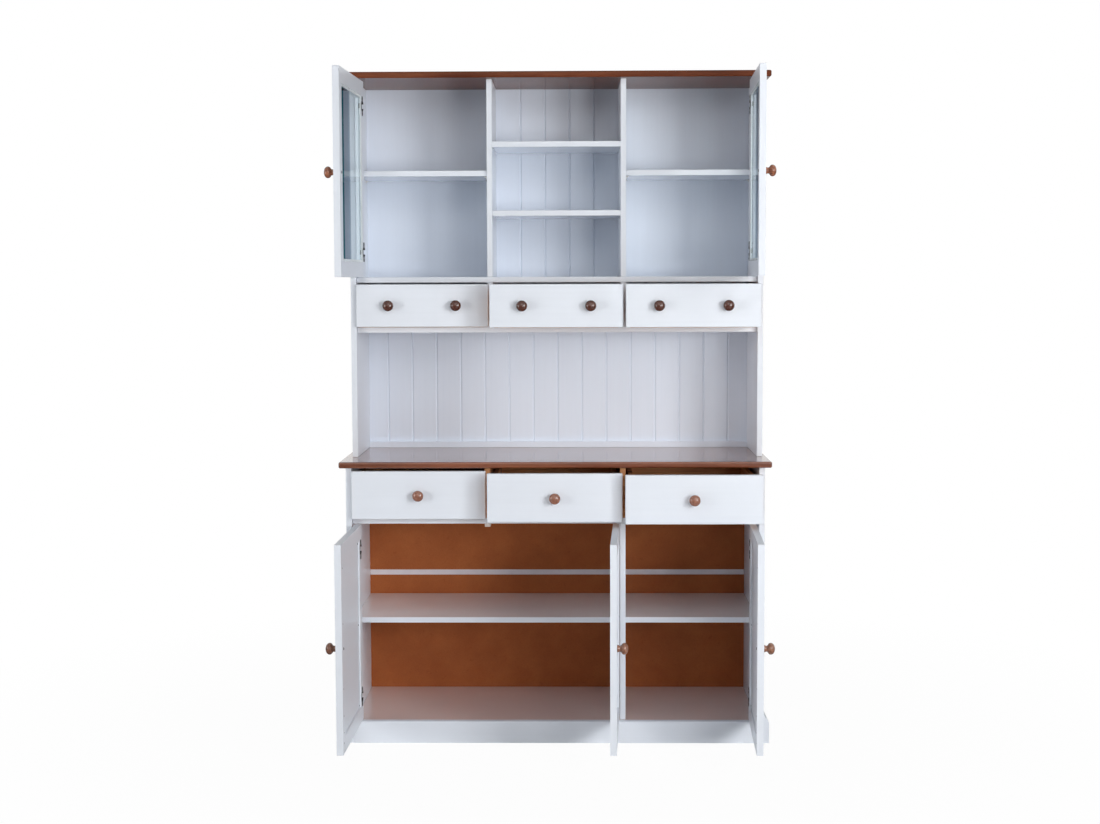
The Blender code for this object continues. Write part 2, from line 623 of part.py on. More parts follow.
def door_table():
    """Every door: label, hand, hinge edge, width, plane, heights, angle and fittings."""
    gap = FRONT_MIDDLE_GAP / 2
    single = INNER - DIVIDER_X - DOOR_EDGE_GAP - gap
    paired = (INNER + DIVIDER_X - DOOR_EDGE_GAP - 2.0 * gap) / 2
    hutch_z = (HUTCH_FLOOR + HUTCH_DOOR_BOTTOM_GAP, CORNICE_UNDER - HUTCH_DOOR_TOP_GAP)
    base_z = (PLINTH_HEIGHT + DOOR_PLINTH_GAP, BASE_RAIL_UNDER + DOOR_TOP_LAP)
    left, right = -INNER + DOOR_EDGE_GAP, INNER - DOOR_EDGE_GAP
    return [
        ("hutch_left", 1, hutch_x(left), single, HUTCH_FRONT_Y, hutch_z, GLAZED_LEFT_ANGLE,
         True, KNOB_WOOD, HUTCH_HINGE_END),
        ("hutch_right", -1, hutch_x(right), single, HUTCH_FRONT_Y, hutch_z,
         GLAZED_RIGHT_ANGLE, True, KNOB_WOOD, HUTCH_HINGE_END),
        ("base_left", 1, left, paired, FRONT_Y, base_z, PANEL_LEFT_ANGLE, False, PALE_KNOB,
         HINGE_END),
        ("base_middle", -1, DIVIDER_X - gap, paired, FRONT_Y, base_z, PANEL_MIDDLE_ANGLE,
         False, PALE_KNOB, HINGE_END),
        ("base_right", -1, right, single, FRONT_Y, base_z, PANEL_RIGHT_ANGLE, False,
         PALE_KNOB, HINGE_END),
    ]


def fuse_hinge_plates(panel, label):
    """Joins the plates and arms of one door's hinges to the panel that carries them."""
    faces = {"hutch_left": hutch_x(-INNER), "hutch_right": hutch_x(INNER),
             "base_left": -INNER, "base_middle": DIVIDER_X - BOARD / 2, "base_right": INNER}
    row = next(row for row in door_table() if row[0] == label)
    hand, hinge_edge, plane_y, (low, high), hinge_end = row[1], row[2], row[4], row[5], row[9]
    face, axis = faces[label], hinge_edge + hand * AXIS_INSET
    near = plane_y + ARM_SHOULDER
    plates, arms = bmesh.new(), bmesh.new()
    for height in (low + hinge_end, high - hinge_end):
        add_box(plates, (face - hand * OVERRUN, face + hand * PLATE_THICKNESS),
                (near + PLATE_WIDTH / 2, near + PLATE_LENGTH),
                (height - PLATE_WIDTH / 2, height + PLATE_WIDTH / 2))
        body = face + hand * ARM_BODY_HEIGHT
        inner, outer = axis + hand * ARM_NEAR, axis + hand * ARM_FAR
        step = ARM_FAR - ARM_NEAR
        outline = [(face - hand * OVERRUN / 2, near), (inner, near),
                   (inner, plane_y + ARM_TIP), (outer, plane_y + ARM_TIP),
                   (outer, near + step / 2), (outer - hand * step / 2, near + step),
                   (body, plane_y + ARM_BODY_START), (body, near + PLATE_LENGTH - step),
                   (face - hand * OVERRUN / 2, near + PLATE_LENGTH - step)]
        add_prism(arms, [(x, y, height - ARM_WIDTH / 2) for x, y in outline],
                  (0.0, 0.0, ARM_WIDTH))
    fuse(panel, "hinge_plates_" + label, plates, NICKEL)
    fuse(panel, "hinge_arms_" + label, arms, NICKEL)


def main():
    """Builds the whole dresser."""
    clear_scene()
    build_base()
    build_hutch()
    build_drawers()
    for row in door_table():
        build_door(row)
    bpy.context.view_layer.update()


main()
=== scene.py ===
"""The kitchen dresser as it stands in the photograph, dressed over its working frame.

A painted base cupboard with a stained worktop carries a painted hutch with a stained
cornice. Panels, drawers, doors, knobs, hinges and small fittings are each built here in
metres, in the frame's own axes: +X to the right, +Y to the wall, +Z up.
"""

import json
import logging
import math
from dataclasses import dataclass, field, replace
from enum import Enum
from functools import cached_property
from typing import Optional, Sequence

import bmesh
import bpy
from mathutils import Matrix, Vector

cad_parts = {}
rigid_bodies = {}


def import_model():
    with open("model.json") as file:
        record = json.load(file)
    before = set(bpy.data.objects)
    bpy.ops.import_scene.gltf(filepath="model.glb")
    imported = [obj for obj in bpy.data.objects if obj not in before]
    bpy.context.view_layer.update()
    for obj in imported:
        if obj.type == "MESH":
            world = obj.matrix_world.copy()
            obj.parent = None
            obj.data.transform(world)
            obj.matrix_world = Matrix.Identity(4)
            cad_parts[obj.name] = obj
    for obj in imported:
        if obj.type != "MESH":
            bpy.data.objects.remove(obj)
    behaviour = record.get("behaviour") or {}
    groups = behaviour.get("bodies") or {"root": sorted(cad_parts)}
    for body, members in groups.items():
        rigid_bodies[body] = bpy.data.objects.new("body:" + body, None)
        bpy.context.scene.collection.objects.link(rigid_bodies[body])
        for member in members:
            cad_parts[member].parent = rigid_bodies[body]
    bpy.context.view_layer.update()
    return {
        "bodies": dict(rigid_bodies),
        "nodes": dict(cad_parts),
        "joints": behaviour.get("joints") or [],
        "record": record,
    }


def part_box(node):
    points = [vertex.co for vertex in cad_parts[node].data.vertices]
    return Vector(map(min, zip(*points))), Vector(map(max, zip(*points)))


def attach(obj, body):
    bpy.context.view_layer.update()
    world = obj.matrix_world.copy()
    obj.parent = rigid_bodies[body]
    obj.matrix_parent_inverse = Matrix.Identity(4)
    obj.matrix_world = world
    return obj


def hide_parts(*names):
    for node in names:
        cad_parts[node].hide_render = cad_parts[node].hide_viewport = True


LOG = logging.getLogger("dresser")
Span = tuple[float, float]
Colour = tuple[float, float, float]
Stops = Sequence[tuple[float, Colour]]
Socket = bpy.types.NodeSocket
WHITE: Colour = (1.0, 1.0, 1.0)
TO_WALL = (0.0, 1.0, 0.0)
TO_ROOM = (0.0, -1.0, 0.0)
# Sizes in metres that several parts share
BOARD = 0.016
GUIDE_HEIGHT = 0.012
DIVIDER_SHIFT = 0.1946667
# Edges that turn by more degrees than this are eased, and stay crisp in the shading
CRISP = 40.0


class Grain(Enum):
    """Which of a piece's own axes its grain runs along."""

    ACROSS = 0
    DEEP = 1
    UPRIGHT = 2


class Tier(Enum):
    """The two cabinets that make up the dresser."""

    BASE = "base"
    HUTCH = "hutch"


class Hand(Enum):
    """Which way a door runs from its hinges, along x."""

    RIGHTWARD = 1
    LEFTWARD = -1


class NodeSheet:
    """Lays out the nodes of one material or world."""

    def __init__(self, tree: bpy.types.NodeTree) -> None:
        """Opens a tree, and finds its main shader if it has one."""
        self.tree = tree
        self.shader = tree.nodes.get("Principled BSDF")

    @cached_property
    def place(self) -> Socket:
        """The piece's own coordinates."""
        return self.node("ShaderNodeTexCoord").outputs["Object"]

    def put(self, socket: Socket, value: object) -> None:
        """Links a socket or sets its value.

        Args:
            socket: The input.
            value: Another node's socket, a colour without alpha, or a value.
        """
        if isinstance(value, Socket):
            self.tree.links.new(value, socket)
        else:
            socket.default_value = (*value, 1.0) if socket.type == 'RGBA' else value

    def node(self, kind: str, *sources: object, operation: str = "",
             **inputs: object) -> bpy.types.Node:
        """Adds a node and fills its sockets.

        Args:
            kind: The node's type.
            sources: Values or sockets for its first inputs, in order.
            operation: What a maths node does.
            inputs: Values or sockets, by the socket's name with _ for a space.

        Returns:
            The new node.
        """
        made = self.tree.nodes.new(kind)
        if operation:
            made.operation = operation
        for socket, source in zip(made.inputs, sources):
            self.put(socket, source)
        for key, value in inputs.items():
            self.put(made.inputs[key.replace("_", " ")], value)
        return made

    def feed(self, **inputs: object) -> None:
        """Fills the main shader's sockets, named with _ for a space."""
        for key, value in inputs.items():
            self.put(self.shader.inputs[key.replace("_", " ")], value)

    def show(self, share: Socket, first: Socket, second: Socket) -> None:
        """Shows two shaders, mixed by the second one's share, as the surface."""
        mixed = self.node("ShaderNodeMixShader", share, first, second).outputs[0]
        self.put(self.tree.nodes["Material Output"].inputs["Surface"], mixed)

    def grained(self, grain: Grain, along: float, over: float) -> Socket:
        """Own coordinates, scaled along and across a grain.

        Args:
            grain: Which way the grain runs.
            along: Repeats per metre along it.
            over: Repeats per metre across it.

        Returns:
            The vector socket.
        """
        scale = Vector((over, over, over))
        scale[grain.value] = along
        return self.node("ShaderNodeMapping", Vector=self.place, Scale=scale).outputs["Vector"]

    def noise(self, vector: Socket, scale: float, detail: float = 3.0, rough: float = 0.5,
              warp: float = 0.0) -> Socket:
        """A cloudy pattern's grey level, with finer layers and a warp."""
        return self.node("ShaderNodeTexNoise", Vector=vector, Scale=scale, Detail=detail,
                         Roughness=rough, Distortion=warp).outputs["Fac"]

    def streaks(self, grain: Grain, along: float, over: float, *finer: float) -> Socket:
        """Noise drawn out along a grain, with noise's own detail, rough and warp."""
        return self.noise(self.grained(grain, along, over), 1.0, *finer)

    def ramp(self, level: Socket, stops: Stops) -> Socket:
        """Turns a grey level into colours.

        Args:
            level: The grey level.
            stops: Places and their colours.

        Returns:
            The colour socket.
        """
        made = self.node("ShaderNodeValToRGB", Fac=level)
        points = made.color_ramp.elements
        while len(points) < len(stops):
            points.new(0.5)
        for point, (place, colour) in zip(points, stops):
            point.position = place
            point.color = (*colour, 1.0)
        return made.outputs["Color"]

    def blend(self, mode: str, share: object, first: object, second: object) -> Socket:
        """Mixes two colours.

        Args:
            mode: How they mix.
            share: Value or socket for the second one's share.
            first: Colour or socket.
            second: Colour or socket.

        Returns:
            The mixed colour.
        """
        made = self.tree.nodes.new("ShaderNodeMix")
        made.data_type = 'RGBA'
        made.blend_type = mode
        for index, value in ((0, share), (6, first), (7, second)):
            self.put(made.inputs[index], value)
        return made.outputs[2]

    def spread(self, value: Socket, start: float, end: float, low: float = 0.0,
               high: float = 1.0) -> Socket:
        """Spreads a value's range from start to end over low to high."""
        return self.node("ShaderNodeMapRange", Value=value, From_Min=start, From_Max=end,
                         To_Min=low, To_Max=high).outputs["Result"]

    def level(self, value: Socket, low: float, high: float) -> Socket:
        """Spreads a noise's usual grey levels between two values."""
        return self.spread(value, 0.3, 0.7, low, high)

    def relief(self, height: Socket, strength: float, depth: float,
               **under: Socket) -> Socket:
        """Raises a pattern by metres of depth, over the normal under it."""
        return self.node("ShaderNodeBump", Height=height, Strength=strength, Distance=depth,
                         **under).outputs["Normal"]


def scaled(colour: Colour, share: float) -> Colour:
    """A colour with each of its parts multiplied by a share."""
    return tuple(value * share for value in colour)


@dataclass
class Finish(NodeSheet):
    """What every finish has: a name, and a material made once."""

    name: str

    def material(self) -> bpy.types.Material:
        """Makes the finish's material the first time that it is asked for.

        Returns:
            The material.
        """
        made = bpy.data.materials.get(self.name)
        if made is None:
            made = bpy.data.materials.new(self.name)
            made.use_nodes = True
            super().__init__(made.node_tree)
            self.lay()
        return made

    def lay(self) -> None:
        """Lays out the nodes."""
        raise NotImplementedError


@dataclass
class Paint(Finish):
    """Sprayed satin paint: faint clouds, orange peel, and grain that shows through."""

    colour: Colour = (0.835, 0.875, 0.940)
    shade: float = 0.975
    rough: float = 0.38
    coat: float = 0.10
    lines: float = 0.985
    grain: Grain = Grain.UPRIGHT

    def lay(self) -> None:
        """Lays out the nodes."""
        clouds = self.noise(self.place, 3.5, 4.0, 0.55)
        streaks = self.streaks(self.grain, 3.0, 110.0, 4.0, 0.6)
        peel = self.noise(self.place, 420.0, 2.0)
        deep = scaled(self.colour, self.shade)
        base = self.ramp(clouds, ((0.32, deep), (0.68, self.colour)))
        lines = self.ramp(streaks, ((0.30, (self.lines,) * 3), (0.62, WHITE)))
        raised = self.relief(streaks, 0.05, 0.0003)
        self.feed(Base_Color=self.blend('MULTIPLY', 1.0, base, lines),
                  Roughness=self.level(clouds, self.rough - 0.02, self.rough + 0.03),
                  Normal=self.relief(peel, 0.06, 0.0002, Normal=raised),
                  Coat_Weight=self.coat, Coat_Roughness=0.14, IOR=1.48)


@dataclass
class LevelPaint(Paint):
    """Glossy paint on a level board, whose upper face is tinted warmer as a painted reflection."""

    # Painted reflection: the upper face's colour is multiplied by this warm tint, for the brown
    # back mirrored in it
    upper: Colour = (1.17, 1.06, 0.98)

    def lay(self) -> None:
        """Lays out the nodes."""
        super().lay()
        # Painted reflection: faces that point up take the warm tint of the reflected brown back
        plain = self.shader.inputs["Base Color"].links[0].from_socket
        normal = self.node("ShaderNodeNewGeometry").outputs["Normal"]
        height = self.node("ShaderNodeSeparateXYZ", Vector=normal).outputs["Z"]
        self.feed(Base_Color=self.blend('MULTIPLY', self.spread(height, 0.6, 0.9), plain,
                                        self.upper))


@dataclass
class Stain(Finish):
    """Brown stained board under a glossy lacquer, with long streaks and fine pores."""

    dark: Colour = (0.120, 0.030, 0.012)
    middle: Colour = (0.190, 0.054, 0.023)
    light: Colour = (0.285, 0.100, 0.044)
    rough: float = 0.20
    shine: float = 0.34
    coat: float = 0.0
    grain: Grain = Grain.ACROSS

    def lay(self) -> None:
        """Lays out the nodes."""
        broad = self.streaks(self.grain, 1.3, 17.0, 7.0, 0.62, 0.7)
        lines = self.streaks(self.grain, 5.0, 150.0, 5.0, 0.65, 0.2)
        pores = self.streaks(self.grain, 28.0, 620.0, 2.0, 0.5)
        clouds = self.noise(self.place, 2.2, 3.0)
        base = self.ramp(broad, ((0.30, self.dark), (0.50, self.middle), (0.72, self.light)))
        veins = self.ramp(lines, ((0.34, (0.62, 0.55, 0.52)), (0.60, WHITE)))
        dots = self.ramp(pores, ((0.33, (0.60, 0.55, 0.52)), (0.45, WHITE)))
        tint = self.ramp(clouds, ((0.35, (0.90, 0.86, 0.84)), (0.65, (1.10, 1.08, 1.06))))
        base = self.blend('MULTIPLY', 0.60, base, veins)
        base = self.blend('MULTIPLY', 0.40, base, dots)
        self.feed(Base_Color=self.blend('MULTIPLY', 1.0, base, tint),
                  Roughness=self.level(clouds, self.rough - 0.02, self.rough + 0.03),
                  Normal=self.relief(lines, 0.03, 0.0002), Coat_Weight=self.coat,
                  Coat_Roughness=0.22, Specular_IOR_Level=self.shine, IOR=1.5)


@dataclass
class BareWood(Finish):
    """Unfinished pine: wavy growth lines, paler sapwood and a few knots."""

    dark: Colour = (0.620, 0.270, 0.110)
    light: Colour = (0.900, 0.490, 0.230)
    knot: Colour = (0.150, 0.060, 0.026)
    rough: float = 0.58
    grain: Grain = Grain.ACROSS

    def lay(self) -> None:
        """Lays out the nodes."""
        warped = self.streaks(self.grain, 1.6, 9.0, 3.0, 0.5, 0.8)
        rings = self.streaks(self.grain, 2.2, 75.0, 5.0, 0.6, 0.5)
        fibres = self.streaks(self.grain, 9.0, 420.0, 3.0)
        cells = self.node("ShaderNodeTexVoronoi", Scale=1.0,
                          Vector=self.grained(self.grain, 4.2, 8.5))
        ring_colour = self.ramp(rings, ((0.36, self.dark), (0.62, self.light)))
        tone = self.ramp(warped, ((0.34, (0.82, 0.76, 0.70)), (0.66, (1.08, 1.06, 1.02))))
        hair = self.ramp(fibres, ((0.34, (0.80, 0.76, 0.72)), (0.56, WHITE)))
        spots = self.ramp(cells.outputs["Distance"], ((0.06, WHITE),
                                                      (0.15, (0.0, 0.0, 0.0))))
        base = self.blend('MULTIPLY', 1.0, ring_colour, tone)
        base = self.blend('MULTIPLY', 0.7, base, hair)
        self.feed(Base_Color=self.blend('MIX', spots, base, self.knot),
                  Roughness=self.level(rings, self.rough + 0.06, self.rough - 0.06),
                  Normal=self.relief(fibres, 0.22, 0.0003), IOR=1.45)


@dataclass
class Fibreboard(Finish):
    """Smooth brown hardboard with soft mottling and short fibres."""

    dark: Colour = (0.400, 0.110, 0.032)
    light: Colour = (0.540, 0.165, 0.052)
    rough: float = 0.60
    shine: float = 0.18

    def lay(self) -> None:
        """Lays out the nodes."""
        clouds = self.noise(self.place, 5.0, 5.0, 0.6)
        fibres = self.noise(self.place, 260.0, 4.0, 0.7, 1.2)
        specks = self.noise(self.place, 70.0, 3.0, 0.6)
        base = self.ramp(clouds, ((0.30, self.dark), (0.70, self.light)))
        grains = self.ramp(fibres, ((0.34, (0.92, 0.89, 0.86)), (0.62, (1.03, 1.02, 1.02))))
        dots = self.ramp(specks, ((0.28, (0.88, 0.83, 0.80)), (0.36, WHITE)))
        base = self.blend('MULTIPLY', 1.0, base, grains)
        self.feed(Base_Color=self.blend('MULTIPLY', 0.8, base, dots),
                  Roughness=self.level(clouds, self.rough - 0.06, self.rough + 0.08),
                  Normal=self.relief(fibres, 0.12, 0.0002),
                  Specular_IOR_Level=self.shine, IOR=1.45)


@dataclass
class TurnedWood(Finish):
    """Lacquered turned wood: grain through the knob, with a low gloss."""

    dark: Colour = (0.060, 0.014, 0.008)
    light: Colour = (0.150, 0.040, 0.018)
    rough: float = 0.20
    coat: float = 0.30

    def lay(self) -> None:
        """Lays out the nodes."""
        rings = self.streaks(Grain.DEEP, 30.0, 210.0, 5.0, 0.6, 0.6)
        pores = self.streaks(Grain.DEEP, 90.0, 900.0, 2.0)
        base = self.ramp(rings, ((0.32, self.dark), (0.66, self.light)))
        dots = self.ramp(pores, ((0.34, (0.62, 0.55, 0.50)), (0.50, WHITE)))
        self.feed(Base_Color=self.blend('MULTIPLY', 0.6, base, dots),
                  Roughness=self.level(rings, self.rough + 0.05, self.rough - 0.05),
                  Normal=self.relief(pores, 0.10, 0.0002),
                  Coat_Weight=self.coat, Coat_Roughness=0.12, IOR=1.5)


@dataclass
class Metal(Finish):
    """Nickel-plated steel, lightly brushed."""

    colour: Colour = (0.46, 0.46, 0.47)
    rough: float = 0.24

    def lay(self) -> None:
        """Lays out the nodes."""
        brushed = self.streaks(Grain.UPRIGHT, 2600.0, 300.0)
        clouds = self.noise(self.place, 60.0, 2.0)
        deep = scaled(self.colour, 0.82)
        self.feed(Base_Color=self.ramp(clouds, ((0.30, deep), (0.62, self.colour))),
                  Roughness=self.level(brushed, self.rough - 0.07, self.rough + 0.09),
                  Normal=self.relief(brushed, 0.08, 0.0001), Metallic=1.0)


@dataclass
class Plastic(Finish):
    """Moulded plastic with a fine spark-eroded texture."""

    colour: Colour = (0.80, 0.79, 0.77)
    rough: float = 0.42

    def lay(self) -> None:
        """Lays out the nodes."""
        clouds = self.noise(self.place, 25.0, 3.0)
        grit = self.noise(self.place, 1500.0, 2.0)
        deep = scaled(self.colour, 0.93)
        self.feed(Base_Color=self.ramp(clouds, ((0.32, deep), (0.66, self.colour))),
                  Roughness=self.level(grit, self.rough - 0.05, self.rough + 0.08),
                  Normal=self.relief(grit, 0.10, 0.0001), IOR=1.46)


@dataclass
class Glass(Finish):
    """Clear float glass: faint green, teal where seen edge on, with painted dark reflections."""

    clear: Colour = (0.985, 1.0, 1.0)
    edge: Colour = (0.96, 1.0, 1.0)
    # Painted reflection: deep is the dark colour seen through the pane's free half at grazing
    # angles, for the dark room mirrored there
    deep: Colour = (0.085, 0.160, 0.240)
    # Partly the glass's own green seen edge on, partly painted dark reflection: the see-through
    # colour of the strip by the free edge
    teal: Colour = (0.001, 0.150, 0.200)
    reflection_split: float = -0.09
    rim: float = -0.184
    mirror: Colour = (0.90, 0.96, 0.99)
    # Painted reflection: a darker teal reflection colour for that strip
    rim_reflection_dark: Colour = (0.060, 0.280, 0.300)
    bend: float = 1.55
    soft: float = 0.004

    def lay(self) -> None:
        """Lays out the nodes."""
        body = self.ramp(self.noise(self.place, 6.0, 3.0),
                         ((0.30, scaled(self.clear, 0.985)), (0.70, self.clear)))
        facing = self.node("ShaderNodeLayerWeight", Blend=0.5).outputs["Facing"]
        along = self.node("ShaderNodeSeparateXYZ", Vector=self.place).outputs["Y"]
        # Painted reflection: masks by place in the pane, for its free half and the strip by its
        # free edge
        free = self.spread(along, self.reflection_split + self.soft, self.reflection_split - self.soft)
        last = self.spread(along, self.rim + self.soft, self.rim - self.soft)
        tint = self.blend('MIX', free, self.edge, self.deep)
        tint = self.blend('MIX', last, tint, self.teal)
        # The painted tints show only where the pane is seen at a grazing angle
        seen = self.blend('MIX', self.spread(facing, 0.60, 0.80), body, tint)
        through = self.node("ShaderNodeBsdfTransparent", Color=seen).outputs[0]
        shine = self.node("ShaderNodeBsdfGlossy", Roughness=0.015,
                          Color=self.blend('MIX', last, self.mirror, self.rim_reflection_dark)).outputs[0]
        fresnel = self.node("ShaderNodeFresnel", IOR=self.bend).outputs[0]
        inside = self.node("ShaderNodeNewGeometry").outputs["Backfacing"]
        share = self.node("ShaderNodeMath", fresnel, self.spread(inside, 0.0, 1.0, 1.0, 0.0),
                          operation='MULTIPLY').outputs[0]
        self.show(share, through, shine)
        self.tree.nodes.remove(self.shader)


PAINT = Paint("white_paint_upright")
PAINT_LEVEL = Paint("white_paint_level", rough=0.24, coat=0.60, grain=Grain.ACROSS)
# The base's shelves and floor carry a painted reflection of the brown back on their upper faces
PAINT_SHELF = LevelPaint("white_paint_base_shelf", rough=0.22, coat=0.70,
                         grain=Grain.ACROSS)
PAINT_FLOOR = LevelPaint("white_paint_base_floor", rough=0.20, coat=0.80, grain=Grain.ACROSS,
                         upper=(1.15, 0.93, 0.83))
# Painted shade: the hutch back is a darker, bluer copy of the white paint, for the bluish shade
# deep inside the hutch
PAINT_BACK_IN_SHADE = Paint("white_paint_back", colour=(0.800, 0.856, 0.950))
PAINT_FRONT = Paint("white_paint_front", grain=Grain.ACROSS)
STAIN = Stain("brown_stain_cornice", shine=0.09)
STAIN_TOP = Stain("brown_stain_worktop", middle=(0.262, 0.084, 0.037),
                  light=(0.400, 0.152, 0.070), rough=0.17, shine=0.60, coat=0.60)
PINE_ACROSS = BareWood("pine_across")
PINE_DEEP = BareWood("pine_deep", grain=Grain.DEEP)
HARDBOARD = Fibreboard("brown_hardboard_sheet")
KNOB_DARK = TurnedWood("knob_wood_dark", dark=(0.045, 0.010, 0.005), light=(0.120, 0.030, 0.014),
                       coat=0.20)
KNOB_WARM = TurnedWood("knob_wood_warm", dark=(0.180, 0.052, 0.022), light=(0.440, 0.150, 0.066))
KNOB_MIDDLE = TurnedWood("knob_wood_middle", dark=(0.200, 0.076, 0.045),
                         light=(0.400, 0.168, 0.105))
# Painted shade: a darker copy of the pale door knob wood, for the left base door's knob, which
# faces away from the lamps on the right
KNOB_DOOR_IN_SHADE = TurnedWood("knob_wood_door", dark=(0.120, 0.045, 0.022), light=(0.270, 0.110, 0.060),
                       rough=0.30, coat=0.12)
KNOB_PALE = TurnedWood("knob_wood_pale", dark=(0.210, 0.085, 0.048), light=(0.420, 0.195, 0.115))
NICKEL = Metal("nickel_plate", colour=(0.74, 0.74, 0.75))
# Painted shade: near-black steel for screw heads and pins, for the deep shadow and dark reflection
# among the hinge parts
STEEL_DARK_AS_SHADE = Metal("dark_steel", colour=(0.030, 0.029, 0.030), rough=0.50)
# Painted shade: the near-black hinge cups stand in for the shade on the cup flanges seen edge on
CUP_DARK_AS_SHADE = Plastic("dark_cup", colour=(0.050, 0.048, 0.052), rough=0.42)
PLASTIC = Plastic("white_plastic")
BEAD = Plastic("glazing_bead", colour=(0.88, 0.94, 0.96), rough=0.22)
PLASTIC_STRIP = Plastic("strip_plastic", colour=(0.93, 0.87, 0.90), rough=0.30)
PLASTIC_PALE = Plastic("pale_plastic", colour=(0.74, 0.66, 0.60))
GLASS = Glass("door_glass")


@dataclass(frozen=True)
class Block:
    """A straight-sided block, by its limits along each axis."""

    x: Span
    y: Span
    z: Span

    def spans(self) -> tuple[Span, Span, Span]:
        """The three spans in order."""
        return (self.x, self.y, self.z)

    def seat(self) -> Vector:
        """The middle of the block's rear face."""
        return Vector((middle(self.x), self.y[1], middle(self.z)))


def middle(span: Span) -> float:
    """The middle of a span."""
    return (span[0] + span[1]) / 2.0


class Form:
    """One piece in the making: a mesh, its finish and its place."""

    def __init__(self, name: str, finish: Optional[Finish] = None,
                 place: Optional[Matrix] = None) -> None:
        """Starts an empty piece.

        Args:
            name: The piece's name.
            finish: Its finish, which a cutter has none of.
            place: Where its own axes lie, for pieces that are turned.
        """
        self.name = name
        self.finish = finish
        self.place = place
        self.mesh = bmesh.new()

    def block(self, block: Block) -> "Form":
        """Adds a block.

        Args:
            block: Its limits.

        Returns:
            The form.
        """
        made = bmesh.ops.create_cube(self.mesh, size=1.0)["verts"]
        spans = [(min(span), max(span)) for span in block.spans()]
        for vertex in made:
            vertex.co = Vector([low + (share + 0.5) * (high - low)
                                for share, (low, high) in zip(vertex.co, spans)])
        return self

    def prism(self, outline: Sequence[Sequence[float]], way: Sequence[float]) -> "Form":
        """Adds an outline drawn out along a vector.

        Args:
            outline: Points of a flat closed outline.
            way: How far and which way it is drawn.

        Returns:
            The form.
        """
        base = self.mesh.faces.new([self.mesh.verts.new(point) for point in outline])
        swept = bmesh.ops.extrude_face_region(self.mesh, geom=[base], use_keep_orig=True)["geom"]
        moved = [item for item in swept if isinstance(item, bmesh.types.BMVert)]
        bmesh.ops.translate(self.mesh, verts=moved, vec=Vector(way))
        return self

    def lathe(self, centre: Sequence[float], axis: Sequence[float],
              profile: Sequence[Span], sides: int) -> "Form":
        """Adds a turned shape.

        Args:
            centre: Where its axis starts.
            axis: Which way the axis runs.
            profile: Distance along the axis and radius, from end to end.
            sides: Steps round the axis.

        Returns:
            The form.
        """
        way = Vector(axis).normalized()
        turn = Vector((0.0, 0.0, 1.0)).rotation_difference(way)
        rings: list[list[bmesh.types.BMVert]] = []
        for along, radius in profile:
            hub = Vector(centre) + way * along
            if radius <= 0.0:
                rings.append([self.mesh.verts.new(hub)])
                continue
            rings.append([self.mesh.verts.new(
                hub + turn @ Vector((radius * math.cos(math.tau * step / sides),
                                     radius * math.sin(math.tau * step / sides), 0.0)))
                for step in range(sides)])
        for near, far in zip(rings, rings[1:]):
            for step in range(sides):
                after = (step + 1) % sides
                corners = ([near[step], near[after]] if len(near) > 1 else [near[0]]) + (
                    [far[after], far[step]] if len(far) > 1 else [far[0]])
                self.mesh.faces.new(corners)
        for ring in (rings[0], rings[-1]):
            if len(ring) > 1:
                self.mesh.faces.new(ring)
        return self

    def hoop(self, rings: Sequence[Sequence[Sequence[float]]]) -> "Form":
        """Adds a closed section that runs round a closed path.

        Args:
            rings: For each point of the section, its path's corners.

        Returns:
            The form.
        """
        made = [[self.mesh.verts.new(point) for point in ring] for ring in rings]
        for near, far in zip(made, made[1:] + made[:1]):
            for corner in range(len(near)):
                after = (corner + 1) % len(near)
                self.mesh.faces.new((near[corner], near[after], far[after], far[corner]))
        return self

    def make(self, ease: float = 0.0, steps: int = 2, cutters: Sequence["Form"] = (),
             smooth: float = CRISP, overlapping: bool = False) -> bpy.types.Object:
        """Turns the form into an object.

        Args:
            ease: How far its edges are rounded.
            steps: Faces in each rounded edge.
            cutters: Forms to be cut out of it.
            smooth: Edges sharper than this many degrees stay crisp.
            overlapping: Whether the form's shells run into one another.

        Returns:
            The object.
        """
        bmesh.ops.recalc_face_normals(self.mesh, faces=self.mesh.faces)
        data = bpy.data.meshes.new(self.name)
        self.mesh.to_mesh(data)
        self.mesh.free()
        if self.finish:
            data.materials.append(self.finish.material())
        made = bpy.data.objects.new(self.name, data)
        bpy.context.scene.collection.objects.link(made)
        tools = [cutter.make() for cutter in cutters]
        for tool in tools:
            cut = made.modifiers.new(tool.name, 'BOOLEAN')
            cut.operation, cut.solver, cut.object = 'DIFFERENCE', 'EXACT', tool
            cut.use_self = overlapping
        if ease:
            bevel = made.modifiers.new("eased_edges", 'BEVEL')
            bevel.width, bevel.segments, bevel.limit_method = ease, steps, 'ANGLE'
            bevel.angle_limit = math.radians(CRISP)
            bevel.miter_outer = 'MITER_ARC'
        if tools or ease:
            bpy.context.view_layer.update()
            shaped = bpy.data.meshes.new_from_object(
                made.evaluated_get(bpy.context.evaluated_depsgraph_get()))
            made.modifiers.clear()
            made.data = shaped
            bpy.data.meshes.remove(data)
            made.data.name = self.name
        for tool in tools:
            bpy.data.objects.remove(tool, do_unlink=True)
        made.data.shade_smooth()
        made.data.set_sharp_from_angle(angle=math.radians(smooth))
        if self.finish:
            made.modifiers.new("even_shading", 'WEIGHTED_NORMAL').keep_sharp = True
        if self.place is not None:
            made.matrix_world = self.place
        return made


